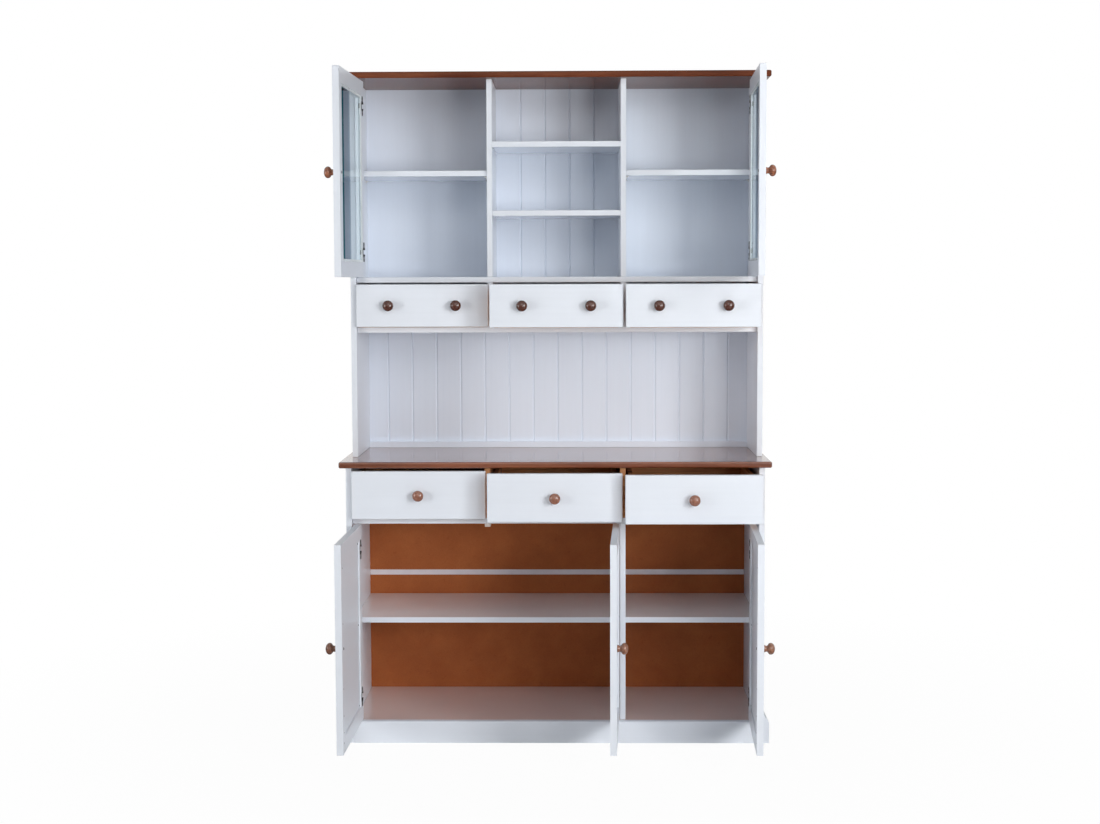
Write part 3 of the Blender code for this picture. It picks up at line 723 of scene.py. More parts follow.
@dataclass
class Workshop:
    """Sets each finished piece on the body that carries it."""

    frame: dict
    count: int = 0
    carried: list[str] = field(default_factory=list)

    def fit(self, piece: bpy.types.Object, *nodes: str, body: str = "carcass",
            slot: str = "white_paint") -> None:
        """Fits a piece to its body, in the place of the nodes that it stands for.

        Args:
            piece: The new piece.
            nodes: Plain nodes that it replaces.
            body: The body that it rides on.
            slot: Not used.
        """
        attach(piece, body)
        if nodes:
            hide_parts(*nodes)
        self.count += 1
        LOG.info("%s rides on %s%s", piece.name, body,
                 " for " + ", ".join(nodes) if nodes else "")

    def dress(self, node: str, finish: Finish) -> None:
        """Gives a node whose shape is already right its full finish.

        Args:
            node: The node's name.
            finish: Its finish.
        """
        target = self.frame["nodes"][node]
        for place in target.material_slots:
            place.material = finish.material()
        self.carried.append(node)
        LOG.info("%s keeps its shape in %s", node, finish.name)

    def block(self, node: str) -> Block:
        """A node's limits at rest."""
        return Block(*zip(*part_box(node)))

    def turned_block(self, node: str, place: Matrix) -> Block:
        """A node's limits along axes that are turned with its door.

        Args:
            node: The node's name.
            place: Where the turned axes lie.

        Returns:
            Its limits there.
        """
        back = place.inverted()
        points = [back @ vertex.co for vertex in self.frame["nodes"][node].data.vertices]
        return Block(*[(min(point[axis] for point in points), max(point[axis] for point in points))
                       for axis in range(3)])


@dataclass
class Knob:
    """A turned wooden knob: flared foot, narrow neck and a rounded cap."""

    length: float = 0.030
    radius: float = 0.0158
    foot: float = 0.0100
    neck: float = 0.0078
    cap_shares: Sequence[Span] = ((0.36, 0.620), (0.41, 0.780), (0.46, 0.890), (0.52, 0.962),
                                  (0.59, 0.996), (0.65, 1.0), (0.72, 0.978), (0.79, 0.916),
                                  (0.86, 0.805), (0.92, 0.650), (0.963, 0.450), (0.990, 0.225))

    def profile(self) -> list[Span]:
        """The knob's half section.

        Returns:
            Distance out from the front and radius, from foot to cap.
        """
        points = [(0.0, self.foot * 0.96), (0.018 * self.length, self.foot)]
        for step in range(7):
            share = step / 6.0
            sag = 0.5 + 0.5 * math.cos(math.pi * share)
            points.append(((0.05 + 0.20 * share) * self.length,
                           self.neck + (self.foot * 0.97 - self.neck) * sag))
        points.append((0.31 * self.length, self.neck * 1.10))
        points += [(out * self.length, self.radius * share) for out, share in self.cap_shares]
        points.append((self.length, 0.0))
        return points

    def form(self, name: str, seat: Vector, finish: Finish,
             place: Optional[Matrix] = None) -> Form:
        """Turns one knob on its seat, pointing along -y."""
        return Form(name, finish, place).lathe(seat, TO_ROOM, self.profile(), 40)


# Half sections of small turned heads: distance out and radius, in metres
CUP_SCREW = ((0.0, 0.0037), (0.0006, 0.00333), (0.0010, 0.00185), (0.0006, 0.000925),
             (0.0006, 0.0))
PLATE_SCREW = ((-0.0004, 0.0037), (0.0005, 0.00333), (0.0009, 0.00185), (0.0004, 0.000814),
               (0.0004, 0.0))
SETTING_SCREW = ((-0.0004, 0.0030), (0.0004, 0.0028), (0.0007, 0.0014), (0.0002, 0.0006),
                 (0.0002, 0.0))
KNOB_SCREW = ((0.0, 0.0040), (0.0007, 0.0038), (0.0014, 0.0024), (0.0009, 0.0010),
              (0.0009, 0.0))
FRONT_SCREW = ((0.0, 0.0042), (0.0006, 0.0040), (0.0011, 0.0022), (0.0006, 0.0009),
               (0.0006, 0.0))
PANEL_PIN = ((0.0, 0.0024), (0.0006, 0.0022), (0.0009, 0.0011), (0.0009, 0.0))
CATCH_STUD = ((0.0, 0.0032), (0.0028, 0.0030), (0.0038, 0.0020), (0.0040, 0.0))


@dataclass
class HingeSize:
    """Sizes of one concealed hinge."""

    cup_centre: float = 0.0225
    cup_radius: float = 0.0175
    hollow: float = 0.014
    skin: float = 0.0053
    wing_length: float = 0.056
    wing_width: float = 0.016
    rim: float = 0.0012
    arm_width: float = 0.012
    play: float = 0.0004
    near: float = 0.0056
    far: float = 0.012
    tip: float = 0.0073
    shoulder: float = 0.0205
    body_height: float = 0.010
    body_start: float = 0.032
    plate_length: float = 0.052
    plate_width: float = 0.030
    plate: float = 0.0035
    screw_spread: float = 0.022
    plate_screw_spread: float = 0.0105
    plate_screw_back: float = 0.031
    setting_screw_back: float = 0.026
    over: float = 0.002
    slot_past: float = 0.0011
    bore_play: float = 0.0006
    wall_play: float = 0.0008
    wing_round: float = 0.004
    rim_steps: int = 90
    rim_turn: float = 0.37
    face_offset: float = 0.0085


@dataclass
class Part:
    """Something that the workshop makes from several pieces, on one body."""

    shop: Workshop
    body: str = field(default="carcass", init=False)

    def fit(self, form: Form, *nodes: str, slot: str = "white_paint", **shape: object) -> None:
        """Turns a form into a piece, by Form.make's values, and fits it."""
        self.shop.fit(form.make(**shape), *nodes, body=self.body, slot=slot)


@dataclass
class Door(Part):
    """One framed door: frame, pane or panel, knob, hinge cups and the hinges' arms."""

    tier: Tier
    side: str
    hand: Hand
    knob: Finish
    thickness: float = 0.018
    stile: float = 0.045
    rail: float = 0.045
    hinge_end: float = 0.070
    chamfer: float = 0.003
    inset: float = 0.0051
    groove: float = 0.008
    board: float = 0.0087
    lip: float = 0.0018
    glass_face: float = 0.010
    rebate: float = 0.008
    pane: float = 0.0043
    bead: float = 0.0012
    bead_top: float = 0.0030
    bead_gap: float = 0.0003
    pin_in: float = 0.005
    pin_sink: float = 0.0006
    plug_share: float = 0.45
    plugs: Sequence[float] = (0.05, 0.10, 0.18, 0.31, 0.62, 0.885)
    sink: float = 0.0004
    ease: float = 0.0012
    hinge: HingeSize = field(default_factory=HingeSize)

    def __post_init__(self) -> None:
        """Reads the door's own axes from its joint, and its limits in them."""
        self.glazed = self.tier is Tier.HUTCH
        if self.glazed:
            self.stile, self.rail, self.hinge_end = 0.046, 0.050, 0.072
        self.body = f"door_{self.tier.value}_{self.side}"
        self.way = float(self.hand.value)
        joint = next(item for item in self.shop.frame["joints"] if item["child"] == self.body)
        self.axis, self.plane, _ = joint["pos_m"]
        turn = self.way * math.radians(joint["range_deg"][0])
        self.place = (Matrix.Translation((self.axis, self.plane, 0.0))
                      @ Matrix.Rotation(turn, 4, 'Z'))
        whole = self.shop.turned_block(self.body + "_frame", self.place)
        self.outer = replace(whole, y=(0.0, self.thickness))
        self.hinge_edge, self.free_edge = whole.x if self.way > 0.0 else whole.x[::-1]
        self.cup_x = self.hinge_edge + self.way * self.hinge.cup_centre
        self.hinges = (("lower", whole.z[0] + self.hinge_end),
                       ("upper", whole.z[1] - self.hinge_end))

    def section(self) -> list[tuple[Optional[float], float]]:
        """The frame's section.

        Returns:
            How far past the inner edge, or None at the outer edge, and the depth.
        """
        if self.glazed:
            lip = self.lip
            return [(None, 0.0), (lip * 2.2, 0.0), (lip, lip * 0.25), (lip * 0.3, lip * 0.9),
                    (0.0, lip * 2.0), (0.0, self.glass_face), (self.rebate, self.glass_face),
                    (self.rebate, self.thickness), (None, self.thickness)]
        end, bevel = self.inset + self.board, self.chamfer
        return [(None, 0.0), (bevel, 0.0), (bevel * 0.35, bevel * 0.35), (0.0, bevel),
                (0.0, self.inset), (self.groove, self.inset), (self.groove, end), (0.0, end),
                (0.0, self.thickness - bevel), (bevel * 0.35, self.thickness - bevel * 0.35),
                (bevel, self.thickness), (None, self.thickness)]

    def loop(self, past: Optional[float], depth: float) -> list[Vector]:
        """One line of the frame's section, carried round the door.

        Args:
            past: How far past the inner edge, or None at the outer edge.
            depth: How far behind the face.

        Returns:
            The four corners.
        """
        in_x, in_z = (0.0, 0.0) if past is None else (self.stile - past, self.rail - past)
        (left, right), _, (low, high) = self.outer.spans()
        return [Vector((x, depth, z)) for x, z in (
            (left + in_x, low + in_z), (right - in_x, low + in_z),
            (right - in_x, high - in_z), (left + in_x, high - in_z))]

    def slot(self, name: str, height: float) -> Form:
        """The slot that a hinge arm turns in, cut through cup and stile edge.

        Args:
            name: The cutter's name.
            height: The hinge's height.

        Returns:
            The cutter.
        """
        size = self.hinge
        half = size.arm_width / 2.0 + size.play
        across = (self.hinge_edge - self.way * size.over, self.cup_x + self.way * size.slot_past)
        return Form(name).block(Block(across, (size.skin, self.thickness + size.rim + size.over),
                                      (height - half, height + half)))

    def build_frame(self) -> None:
        """Builds stiles and rails, bored for the hinge cups."""
        form = Form(self.body + "_stiles_and_rails", PAINT, self.place)
        form.hoop([self.loop(past, depth) for past, depth in self.section()])
        cutters, radius = [], self.hinge.cup_radius - self.hinge.bore_play
        for index, (_, height) in enumerate(self.hinges):
            bore = Form(f"bore_{index}").lathe(
                (self.cup_x, self.hinge.skin - self.sink, height), TO_WALL,
                ((0.0, radius), (self.thickness, radius)), 40)
            cutters += [bore, self.slot(f"arm_slot_{index}", height)]
        self.fit(form, self.body + "_frame", ease=self.ease, steps=3, cutters=cutters)

    def cup_rim(self) -> list[Span]:
        """Outline of a cup's face: a round rim with two wings for its screws.

        Returns:
            Points across and up.
        """
        size = self.hinge
        wing_x, wing_z, turn = size.wing_width / 2.0, size.wing_length / 2.0, size.wing_round
        points = []
        for step in range(size.rim_steps):
            angle = math.tau * (step + size.rim_turn) / size.rim_steps
            cos, sin = math.cos(angle), math.sin(angle)
            reach = min(wing_x / max(abs(cos), 1e-6), wing_z / max(abs(sin), 1e-6))
            corner = math.hypot(max(abs(reach * cos) - wing_x + turn, 0.0),
                                max(abs(reach * sin) - wing_z + turn, 0.0))
            radius = max(size.cup_radius, reach - max(corner - turn, 0.0))
            points.append((radius * cos, radius * sin))
        return points

    def build_cups(self) -> None:
        """Builds the cups let in to the hinge stile, and their screws, near-black as painted
        shade.
        """
        size, across = self.hinge, self.cup_x
        wall = size.cup_radius - size.wall_play
        for label, height in self.hinges:
            form = Form(f"{self.body}_cup_{label}", CUP_DARK_AS_SHADE, self.place)
            form.prism([(across + x, self.thickness, height + z) for x, z in self.cup_rim()],
                       (0.0, size.rim * 0.8, 0.0))
            form.lathe((across, size.skin - self.sink / 2.0, height), TO_WALL,
                       ((0.0, wall), (self.thickness - size.skin + size.rim, wall)), 40)
            hollow = Form("hollow_" + label).lathe(
                (across, size.skin + self.sink, height), TO_WALL,
                ((0.0, size.hollow), (self.thickness, size.hollow)), 36)
            cutters = [hollow, self.slot("cup_slot_" + label, height)]
            self.fit(form, ease=0.0003, cutters=cutters, overlapping=True)
            heads = Form(f"{self.body}_cup_screws_{label}", STEEL_DARK_AS_SHADE, self.place)
            for up in (-size.screw_spread, size.screw_spread):
                heads.lathe((across, self.thickness + size.rim * 0.6, height + up), TO_WALL,
                            CUP_SCREW, 20)
            self.fit(heads)

    def build_arms(self) -> None:
        """Builds the mounting plates and the cranked arms on the cabinet's side."""
        size, way = self.hinge, self.way
        face = self.axis - way * size.face_offset
        if self.tier is Tier.BASE and self.side == "middle":
            face = self.shop.block("base_partition").x[1] - BOARD
        near, step = self.plane + size.shoulder, size.far - size.near
        rise, end = face + way * size.body_height, near + size.plate_length - step
        inner, outer = self.axis + way * size.near, self.axis + way * size.far
        outline = ((face, near), (inner, near), (inner, self.plane + size.tip),
                   (outer, self.plane + size.tip), (outer, near + step / 2.0),
                   (outer - way * step / 2.0, near + step), (rise, self.plane + size.body_start),
                   (rise, end), (face, end))
        half = size.plate_width / 2.0
        for label, height in self.hinges:
            form = Form(f"{self.body}_hinge_arm_{label}", NICKEL)
            form.block(Block((face, face + way * size.plate),
                             (near + half, near + size.plate_length),
                             (height - half, height + half)))
            form.prism([(x, y, height - size.arm_width / 2.0) for x, y in outline],
                       (0.0, 0.0, size.arm_width))
            self.shop.fit(form.make(0.0006))
            screws = Form(f"{self.body}_plate_screws_{label}", STEEL_DARK_AS_SHADE)
            for up in (-size.plate_screw_spread, size.plate_screw_spread):
                screws.lathe((face + way * size.plate, near + size.plate_screw_back, height + up),
                             (way, 0.0, 0.0), PLATE_SCREW, 18)
            screws.lathe((rise, near + size.setting_screw_back, height), (way, 0.0, 0.0),
                         SETTING_SCREW, 18)
            self.shop.fit(screws.make())

    def build_pane(self) -> None:
        """Finishes the pane and builds the beads that hold it."""
        self.shop.dress(self.body + "_glass", GLASS)
        front, bead = self.glass_face + self.pane + self.bead_gap, self.bead
        rear, outer = self.thickness - self.sink, self.rebate - self.sink
        form = Form(self.body + "_glazing_beads", BEAD, self.place)
        form.hoop([self.loop(past, depth) for past, depth in (
            (outer, front), (bead, front), (bead / 2.0, front + bead),
            (self.rebate - self.bead_top, rear), (outer, rear))])
        self.fit(form)

    def build_panel(self) -> None:
        """Finishes the panel and builds its pins and the plug dots on the free stile."""
        self.shop.dress(self.body + "_panel", PAINT)
        form = Form(self.body + "_panel_pins", STEEL_DARK_AS_SHADE, self.place)
        back = self.inset + self.board
        in_x, in_z = self.stile + self.pin_in, self.rail + self.pin_in
        (left, right), _, (low, high) = self.outer.spans()
        spots = [(x, back, low + in_z + (high - low - 2.0 * in_z) * share)
                 for x in (left + in_x, right - in_x) for share in (0.0, 0.5, 1.0)]
        free = self.free_edge - self.way * self.stile * self.plug_share
        spots += [(free, self.thickness, low + (high - low) * share) for share in self.plugs]
        for x, y, z in spots:
            form.lathe((x, y - self.pin_sink, z), TO_WALL, PANEL_PIN, 14)
        self.fit(form)

    def build_knob(self) -> None:
        """Turns the knob and the head of its screw behind the frame."""
        node = self.body + "_knob"
        seat = self.shop.turned_block(node, self.place).seat()
        self.fit(Knob().form(self.body + "_turned_knob", seat, self.knob, self.place), node,
                 slot="dark_knob_wood" if self.glazed else "pale_knob_wood", smooth=60.0)
        head = Form(self.body + "_knob_screw", STEEL_DARK_AS_SHADE, self.place)
        head.lathe((seat.x, self.thickness - self.sink, seat.z), TO_WALL, KNOB_SCREW, 20)
        self.fit(head)

    def build(self) -> None:
        """Builds and dresses the whole door."""
        self.build_frame()
        self.build_cups()
        self.build_arms()
        if self.glazed:
            self.build_pane()
        else:
            self.build_panel()
        self.build_knob()


@dataclass
class Drawer(Part):
    """One drawer: painted front, pine box on its runners, and its knobs."""

    tier: Tier
    side: str
    knobs: Sequence[str]
    wood: Finish
    wall: float = 0.013
    bottom: float = 0.004
    rise: float = 0.007
    end_drop: float = 0.001
    screw_in: float = 0.055
    screw_up: float = 0.045
    screw_sink: float = 0.0003

    def __post_init__(self) -> None:
        """Names the drawer's body."""
        self.body = f"drawer_{self.tier.value}_{self.side}"

    def build_box(self, box: Block) -> None:
        """Builds the box from four walls and its bottom.

        Args:
            box: The box's limits.
        """
        (left, right), (near, far), (low, high) = box.spans()
        wall, level = self.wall, low + self.rise
        sides = Form(self.body + "_box_sides", PINE_DEEP)
        ends = Form(self.body + "_box_ends", PINE_ACROSS)
        for across, deep in (((left, left + wall), (near, near + wall)),
                             ((right - wall, right), (far - wall, far))):
            sides.block(replace(box, x=across))
            ends.block(Block((left + wall, right - wall), deep,
                             (low, high - self.end_drop)))
        self.fit(sides, self.body + "_box", slot="natural_pine", ease=0.0012)
        self.fit(ends, slot="natural_pine", ease=0.0010)
        bottom = Form(self.body + "_box_bottom", PINE_ACROSS)
        bottom.block(Block((left + wall, right - wall), (near + wall, far - wall),
                           (level, level + self.bottom)))
        self.fit(bottom, slot="natural_pine", ease=0.0003, steps=1)

    def build(self) -> None:
        """Builds front, box, knobs, and the screws that hold the front to the box."""
        front, box = (self.shop.block(self.body + ending) for ending in ("_front", "_box"))
        self.fit(Form(self.body + "_painted_front", PAINT_FRONT).block(front),
                 self.body + "_front", ease=0.0028, steps=4)
        self.build_box(box)
        for ending in self.knobs:
            node = self.body + "_knob" + ending
            seat = self.shop.block(node).seat()
            self.fit(Knob().form(self.body + "_turned_knob" + ending, seat, self.wood), node,
                     slot="dark_knob_wood", smooth=60.0)
        heads = Form(self.body + "_front_screws", STEEL_DARK_AS_SHADE)
        for x in (box.x[0] + self.screw_in, box.x[1] - self.screw_in):
            heads.lathe((x, box.y[0] + self.wall - self.screw_sink, box.z[0] + self.screw_up),
                        TO_WALL, FRONT_SCREW, 18)
        self.fit(heads, slot="natural_pine")


@dataclass
class SidePanel(Part):
    """An upright cabinet side, with its shaped skirt on the base."""

    node: str
    skirt: float = 0.017
    skirt_height: float = 0.087
    square_height: float = 0.058
    lip: float = 0.0015

    def skirt_outline(self, panel: float, way: float) -> list[Span]:
        """Section of the skirt: a square foot, then a curve in to the panel.

        Args:
            panel: The panel's outer face.
            way: Which way is outward along x.

        Returns:
            Points across and up.
        """
        lip, outer = panel + way * self.lip, panel + way * self.skirt
        points = [(panel, 0.0), (outer, 0.0)]
        for step in range(17):
            share = step / 16.0
            lean = 0.4 * (1.0 - share) ** 0.8 + 0.3 * (1.0 + math.cos(math.pi * share))
            points.append((lip + (outer - lip) * lean, self.square_height
                           + (self.skirt_height - self.square_height) * share))
        return points + [(panel, self.skirt_height)]

    def build(self) -> None:
        """Builds the panel and its skirt."""
        whole = self.shop.block(self.node)
        way = 1.0 if middle(whole.x) > 0.0 else -1.0
        outer = whole.x[1] if way > 0.0 else whole.x[0]
        on_base = self.node.startswith("base_side")
        if on_base:
            outer -= way * self.skirt
        panel = Form(self.node + "_panel", PAINT)
        self.fit(panel.block(replace(whole, x=(outer - way * BOARD, outer))), self.node,
                 ease=0.0012, steps=3)
        if on_base:
            skirt = Form(self.node + "_skirt", PAINT)
            near, far = whole.y
            skirt.prism([(x, near, z) for x, z in self.skirt_outline(outer, way)],
                        (0.0, far - near, 0.0))
            self.fit(skirt, ease=0.0008)


@dataclass
class Guides(Part):
    """Pine strips beside the drawers, sized from the boxes that run between them."""

    tier: Tier
    board: Block
    level: Span
    play: float = 0.0007
    seat: float = 0.0003
    setback: float = 0.0005

    def build(self) -> None:
        """Builds the strips of one row of drawers."""
        form = Form(self.tier.value + "_drawer_guides", PINE_DEEP)
        half, (left, right), (near, far) = BOARD / 2.0 + self.seat, self.board.x, self.board.y
        low, high = middle(self.board.x) - DIVIDER_SHIFT, middle(self.board.x) + DIVIDER_SHIFT
        bays = ((left, low - half), (low + half, high - half), (high + half, right))
        depth = (near + self.setback, far - self.setback)
        for side, bay in zip(("left", "middle", "right"), bays):
            box = self.shop.block(f"drawer_{self.tier.value}_{side}_box")
            for across in ((bay[0], box.x[0] - self.play), (box.x[1] + self.play, bay[1])):
                form.block(Block(across, depth, self.level))
        self.fit(form, ease=0.0006, steps=1, slot="natural_pine")


@dataclass
class BaseInside(Part):
    """The base's partition, drawer board, hardboard back, joint strip and door catch."""

    strip: float = 0.0015
    strip_height: float = 0.016
    strip_level: float = 0.428
    strip_end: float = 0.5834
    back: float = 0.003
    sheet_gap: float = 0.0004
    recess: float = 0.0127
    ease: float = 0.0010
    catch_half: float = 0.008
    catch_height: float = 0.0095
    catch_depth: float = 0.040
    catch_gap: float = 0.0003
    stud_share: float = 0.55
    stud_back: float = 0.0043
    stud_drop: float = 0.0040

    def build_drawer_board(self) -> None:
        """Builds the board under the drawers, its pine guides and the door catch."""
        whole = self.shop.block("base_drawer_board")
        top = whole.z[1] - GUIDE_HEIGHT
        under, near = top - BOARD, whole.y[0]
        board = replace(whole, z=(under, top))
        self.fit(Form("base_drawer_board_panel", PAINT_LEVEL).block(board),
                 "base_drawer_board", ease=self.ease)
        Guides(self.shop, Tier.BASE, board, (top, whole.z[1])).build()
        catch = Form("door_catch", PLASTIC_PALE)
        half, centre = self.catch_half, -DIVIDER_SHIFT
        catch.block(Block((centre - half, centre + half),
                          (near + self.catch_gap, near + self.catch_depth),
                          (under - self.catch_height, under)))
        for way in (-1.0, 1.0):
            catch.lathe((centre + way * half * self.stud_share, near + self.stud_back,
                         under - self.stud_drop), TO_ROOM, CATCH_STUD, 16)
        self.fit(catch, ease=0.0008)

    def build_back(self) -> None:
        """Builds the two hardboard sheets and the strip that joins them."""
        whole = self.shop.block("base_back_panel")
        near, level = whole.y[1] - self.back, self.strip_level
        form = Form("base_back_sheets", HARDBOARD)
        for span in ((whole.z[0], level - self.sheet_gap), (level + self.sheet_gap, whole.z[1])):
            form.block(replace(whole, y=(near, whole.y[1]), z=span))
        self.fit(form, "base_back_panel", slot="brown_hardboard")
        half, end = self.strip_height / 2.0, self.strip_end
        strip = Form("base_back_joint_strip", PLASTIC_STRIP)
        strip.prism([(-end, near - self.strip * out, level + half * up) for out, up in (
            (0.0, -1.0), (0.7, -1.0), (1.0, -0.8), (1.0, 0.8), (0.7, 1.0), (0.0, 1.0))],
            (2.0 * end, 0.0, 0.0))
        self.fit(strip)

    def build(self) -> None:
        """Builds and dresses every fixed board inside the base."""
        whole = self.shop.block("base_partition")
        panel = Form("base_partition_panel", PAINT)
        panel.block(replace(whole, x=(whole.x[1] - BOARD, whole.x[1]),
                            y=(whole.y[0] + self.recess, whole.y[1])))
        self.fit(panel, "base_partition", ease=self.ease)
        self.build_drawer_board()
        self.build_back()
        for node, finish in (("base_floor", PAINT_FLOOR), ("base_shelf_left", PAINT_SHELF),
                             ("base_shelf_right", PAINT_SHELF), ("base_plinth", PAINT_FRONT),
                             ("base_divider_left", PINE_DEEP),
                             ("base_divider_right", PINE_DEEP)):
            self.shop.dress(node, finish)


@dataclass
class HutchInside(Part):
    """The hutch's drawer board with its dividers, and its shelves and boarded back."""

    ease: float = 0.0010

    def build(self) -> None:
        """Builds and dresses every fixed board of the hutch but its sides."""
        whole = self.shop.block("hutch_drawer_board")
        top = whole.z[0] + BOARD
        board = replace(whole, z=(whole.z[0], top))
        self.fit(Form("hutch_drawer_board_panel", PAINT_LEVEL).block(board),
                 "hutch_drawer_board", ease=self.ease)
        Guides(self.shop, Tier.HUTCH, board, (top, top + GUIDE_HEIGHT)).build()
        dividers = Form("hutch_drawer_dividers", PAINT)
        for shift in (-DIVIDER_SHIFT, DIVIDER_SHIFT):
            centre = middle(whole.x) + shift
            dividers.block(replace(whole, x=(centre - BOARD / 2.0, centre + BOARD / 2.0),
                                   z=(top, whole.z[1])))
        self.fit(dividers, ease=self.ease)
        # The back takes the bluer copy of the white paint as painted shade
        self.shop.dress("hutch_back_panel", PAINT_BACK_IN_SHADE)
        for ending in ("divider_left", "divider_right"):
            self.shop.dress("hutch_" + ending, PAINT)
        for ending in ("floor", "shelf_left", "shelf_right", "shelf_lower", "shelf_upper"):
            self.shop.dress("hutch_" + ending, PAINT_LEVEL)


@dataclass
class ShelfPins(Part):
    """Four moulded pins under a loose shelf."""

    node: str
    reach: float = 0.0085
    width: float = 0.0080
    drop: float = 0.0065
    setback: float = 0.032
    play: float = 0.0002

    def build(self) -> None:
        """Builds the four pins of one shelf."""
        shelf = self.shop.block(self.node)
        under = shelf.z[0] - self.play
        form = Form(self.node + "_pins", PLASTIC)
        for y in (shelf.y[0] + self.setback, shelf.y[1] - self.setback):
            for wall, way in ((shelf.x[0], 1.0), (shelf.x[1], -1.0)):
                form.prism([(wall + way * out, y - self.width / 2.0, under - down)
                            for out, down in ((0.0, 0.0), (self.reach, 0.0),
                                              (self.reach, 0.0018), (0.0035, 0.0030),
                                              (0.0020, self.drop), (0.0, self.drop))],
                           (0.0, self.width, 0.0))
        self.fit(form, ease=0.0005)


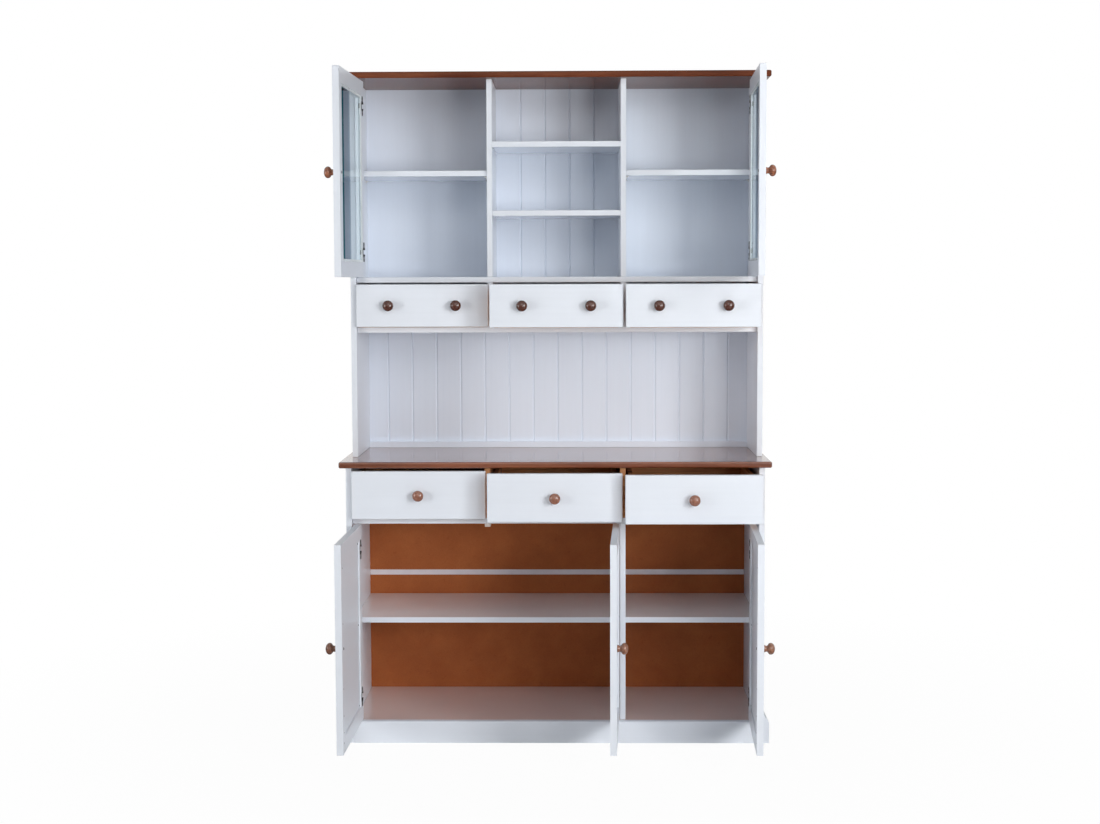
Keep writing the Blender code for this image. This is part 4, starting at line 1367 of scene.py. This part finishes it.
@dataclass
class Studio:
    """White sweep, soft lamps and the camera that took the photograph."""

    camera_place: tuple[float, float, float] = (0.05802, -4.79320, 1.34143)
    yaw: float = 0.01496
    pitch: float = -0.07907
    roll: float = -0.00317
    lens: float = 55.0582
    sensor: float = 36.0
    sky: float = 0.02
    ground_glow: float = 0.965
    floor_reach: float = 14.0
    lamps_aim: tuple[float, float, float] = (0.0, 0.2, 1.1)

    def build_world(self) -> None:
        """Lights the room evenly, and shows plain white behind the dresser."""
        world = bpy.data.worlds.new("white_room")
        bpy.context.scene.world = world
        world.use_nodes = True
        world.node_tree.nodes.clear()
        sheet = NodeSheet(world.node_tree)
        path = sheet.node("ShaderNodeLightPath").outputs
        seen = path["Is Camera Ray"]
        for kind in ("Is Transmission Ray", "Is Glossy Ray"):
            seen = sheet.node("ShaderNodeMath", seen, path[kind], operation='MAXIMUM').outputs[0]
        room = sheet.node("ShaderNodeBackground", (0.84, 0.90, 1.0), self.sky).outputs[0]
        white = sheet.node("ShaderNodeBackground", WHITE, 1.0).outputs[0]
        mixed = sheet.node("ShaderNodeMixShader", seen, room, white).outputs[0]
        sheet.node("ShaderNodeOutputWorld", mixed)

    def build_floor(self) -> None:
        """Lays a pale floor that keeps the dresser's soft shadow."""
        reach = self.floor_reach
        form = Form("studio_floor", Plastic("floor_white", colour=(0.90, 0.90, 0.90), rough=0.9))
        floor = form.block(Block((-reach, reach), (-reach, reach), (-0.02, -0.0004))).make()
        sheet = NodeSheet(floor.data.materials[0].node_tree)
        far = sheet.node("ShaderNodeVectorMath", sheet.place, operation='LENGTH').outputs["Value"]
        seen = sheet.node("ShaderNodeLightPath").outputs["Is Camera Ray"]
        glow = sheet.spread(far, 0.5, 2.2, self.ground_glow, 1.0)
        share = sheet.node("ShaderNodeMath", seen, glow, operation='MULTIPLY').outputs[0]
        sheet.show(share, sheet.shader.outputs[0], sheet.node("ShaderNodeEmission").outputs[0])

    def build_lamps(self) -> None:
        """Hangs soft boxes: most light from the right, a little from the left and behind."""
        for name, spot, width, height, power in (
                ("key_right", (2.75, -3.1, 1.5), 1.1, 1.2, 54.0),
                ("key_upper", (2.75, -3.1, 2.8), 1.1, 1.2, 20.0),
                ("near_right", (1.7, -3.9, 1.25), 0.9, 0.9, 33.0),
                ("soft_left", (-3.4, -2.2, 1.2), 1.1, 1.6, 44.0),
                ("overhead", (0.0, -4.0, 3.2), 2.4, 1.6, 25.0),
                ("behind", (-1.2, 4.0, 1.9), 1.6, 1.6, 26.0)):
            light, place = bpy.data.lights.new(name, 'AREA'), Vector(spot)
            light.shape, light.size, light.size_y, light.energy = 'RECTANGLE', width, height, power
            hung = bpy.data.objects.new(name, light)
            hung.visible_camera, hung.visible_glossy = False, place.y < 0.0
            bpy.context.scene.collection.objects.link(hung)
            turn = (Vector(self.lamps_aim) - place).to_track_quat('-Z', 'Y')
            hung.matrix_world = Matrix.Translation(place) @ turn.to_matrix().to_4x4()

    def build_camera(self) -> None:
        """Stands the camera where the photograph was taken from."""
        data = bpy.data.cameras.new("photo_camera")
        data.sensor_fit, data.sensor_width, data.lens = 'HORIZONTAL', self.sensor, self.lens
        data.clip_end = 60.0
        camera = bpy.data.objects.new("photo_camera", data)
        bpy.context.scene.collection.objects.link(camera)
        camera.matrix_world = (Matrix.Translation(self.camera_place)
                               @ Matrix.Rotation(self.yaw, 4, 'Z')
                               @ Matrix.Rotation(math.pi / 2.0 + self.pitch, 4, 'X')
                               @ Matrix.Rotation(self.roll, 4, 'Z'))
        bpy.context.scene.camera = camera

    def build(self) -> None:
        """Sets up room, floor, lamps, camera and a plain view."""
        self.build_world()
        self.build_floor()
        self.build_lamps()
        self.build_camera()
        bpy.context.scene.view_settings.view_transform = 'Standard'


def clear_scene() -> None:
    """Removes what the empty file starts with."""
    for item in list(bpy.data.objects):
        bpy.data.objects.remove(item, do_unlink=True)


def main() -> None:
    """Builds the whole dresser over its frame, in order."""
    logging.basicConfig(level=logging.INFO, format="%(name)s: %(message)s")
    clear_scene()
    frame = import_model()
    Studio().build()
    shop = Workshop(frame)
    for node, finish in (("base_worktop", STAIN_TOP), ("hutch_top", STAIN)):
        board = Form(node + "_board", finish).block(shop.block(node))
        Part(shop).fit(board, node, slot="brown_stain", ease=0.0045, steps=5)
    for node in ("base_side_left", "base_side_right", "hutch_side_left", "hutch_side_right"):
        SidePanel(shop, node).build()
    BaseInside(shop).build()
    HutchInside(shop).build()
    for node in ("base_shelf_left", "base_shelf_right", "hutch_shelf_left", "hutch_shelf_right"):
        ShelfPins(shop, node).build()
    for side in ("left", "middle", "right"):
        Drawer(shop, Tier.BASE, side, ("",), KNOB_MIDDLE).build()
        Drawer(shop, Tier.HUTCH, side, ("_left", "_right"), KNOB_DARK).build()
    for tier, side, hand, wood in ((Tier.HUTCH, "left", Hand.RIGHTWARD, KNOB_WARM),
                                   (Tier.HUTCH, "right", Hand.LEFTWARD, KNOB_WARM),
                                   # The left base door's knob takes the darker copy as painted
                                   # shade
                                   (Tier.BASE, "left", Hand.RIGHTWARD, KNOB_DOOR_IN_SHADE),
                                   (Tier.BASE, "middle", Hand.LEFTWARD, KNOB_PALE),
                                   (Tier.BASE, "right", Hand.LEFTWARD, KNOB_PALE)):
        Door(shop, tier, side, hand, wood).build()
    LOG.info("%d pieces fitted, %d nodes dressed", shop.count, len(shop.carried))


if __name__ == "__main__":
    main()
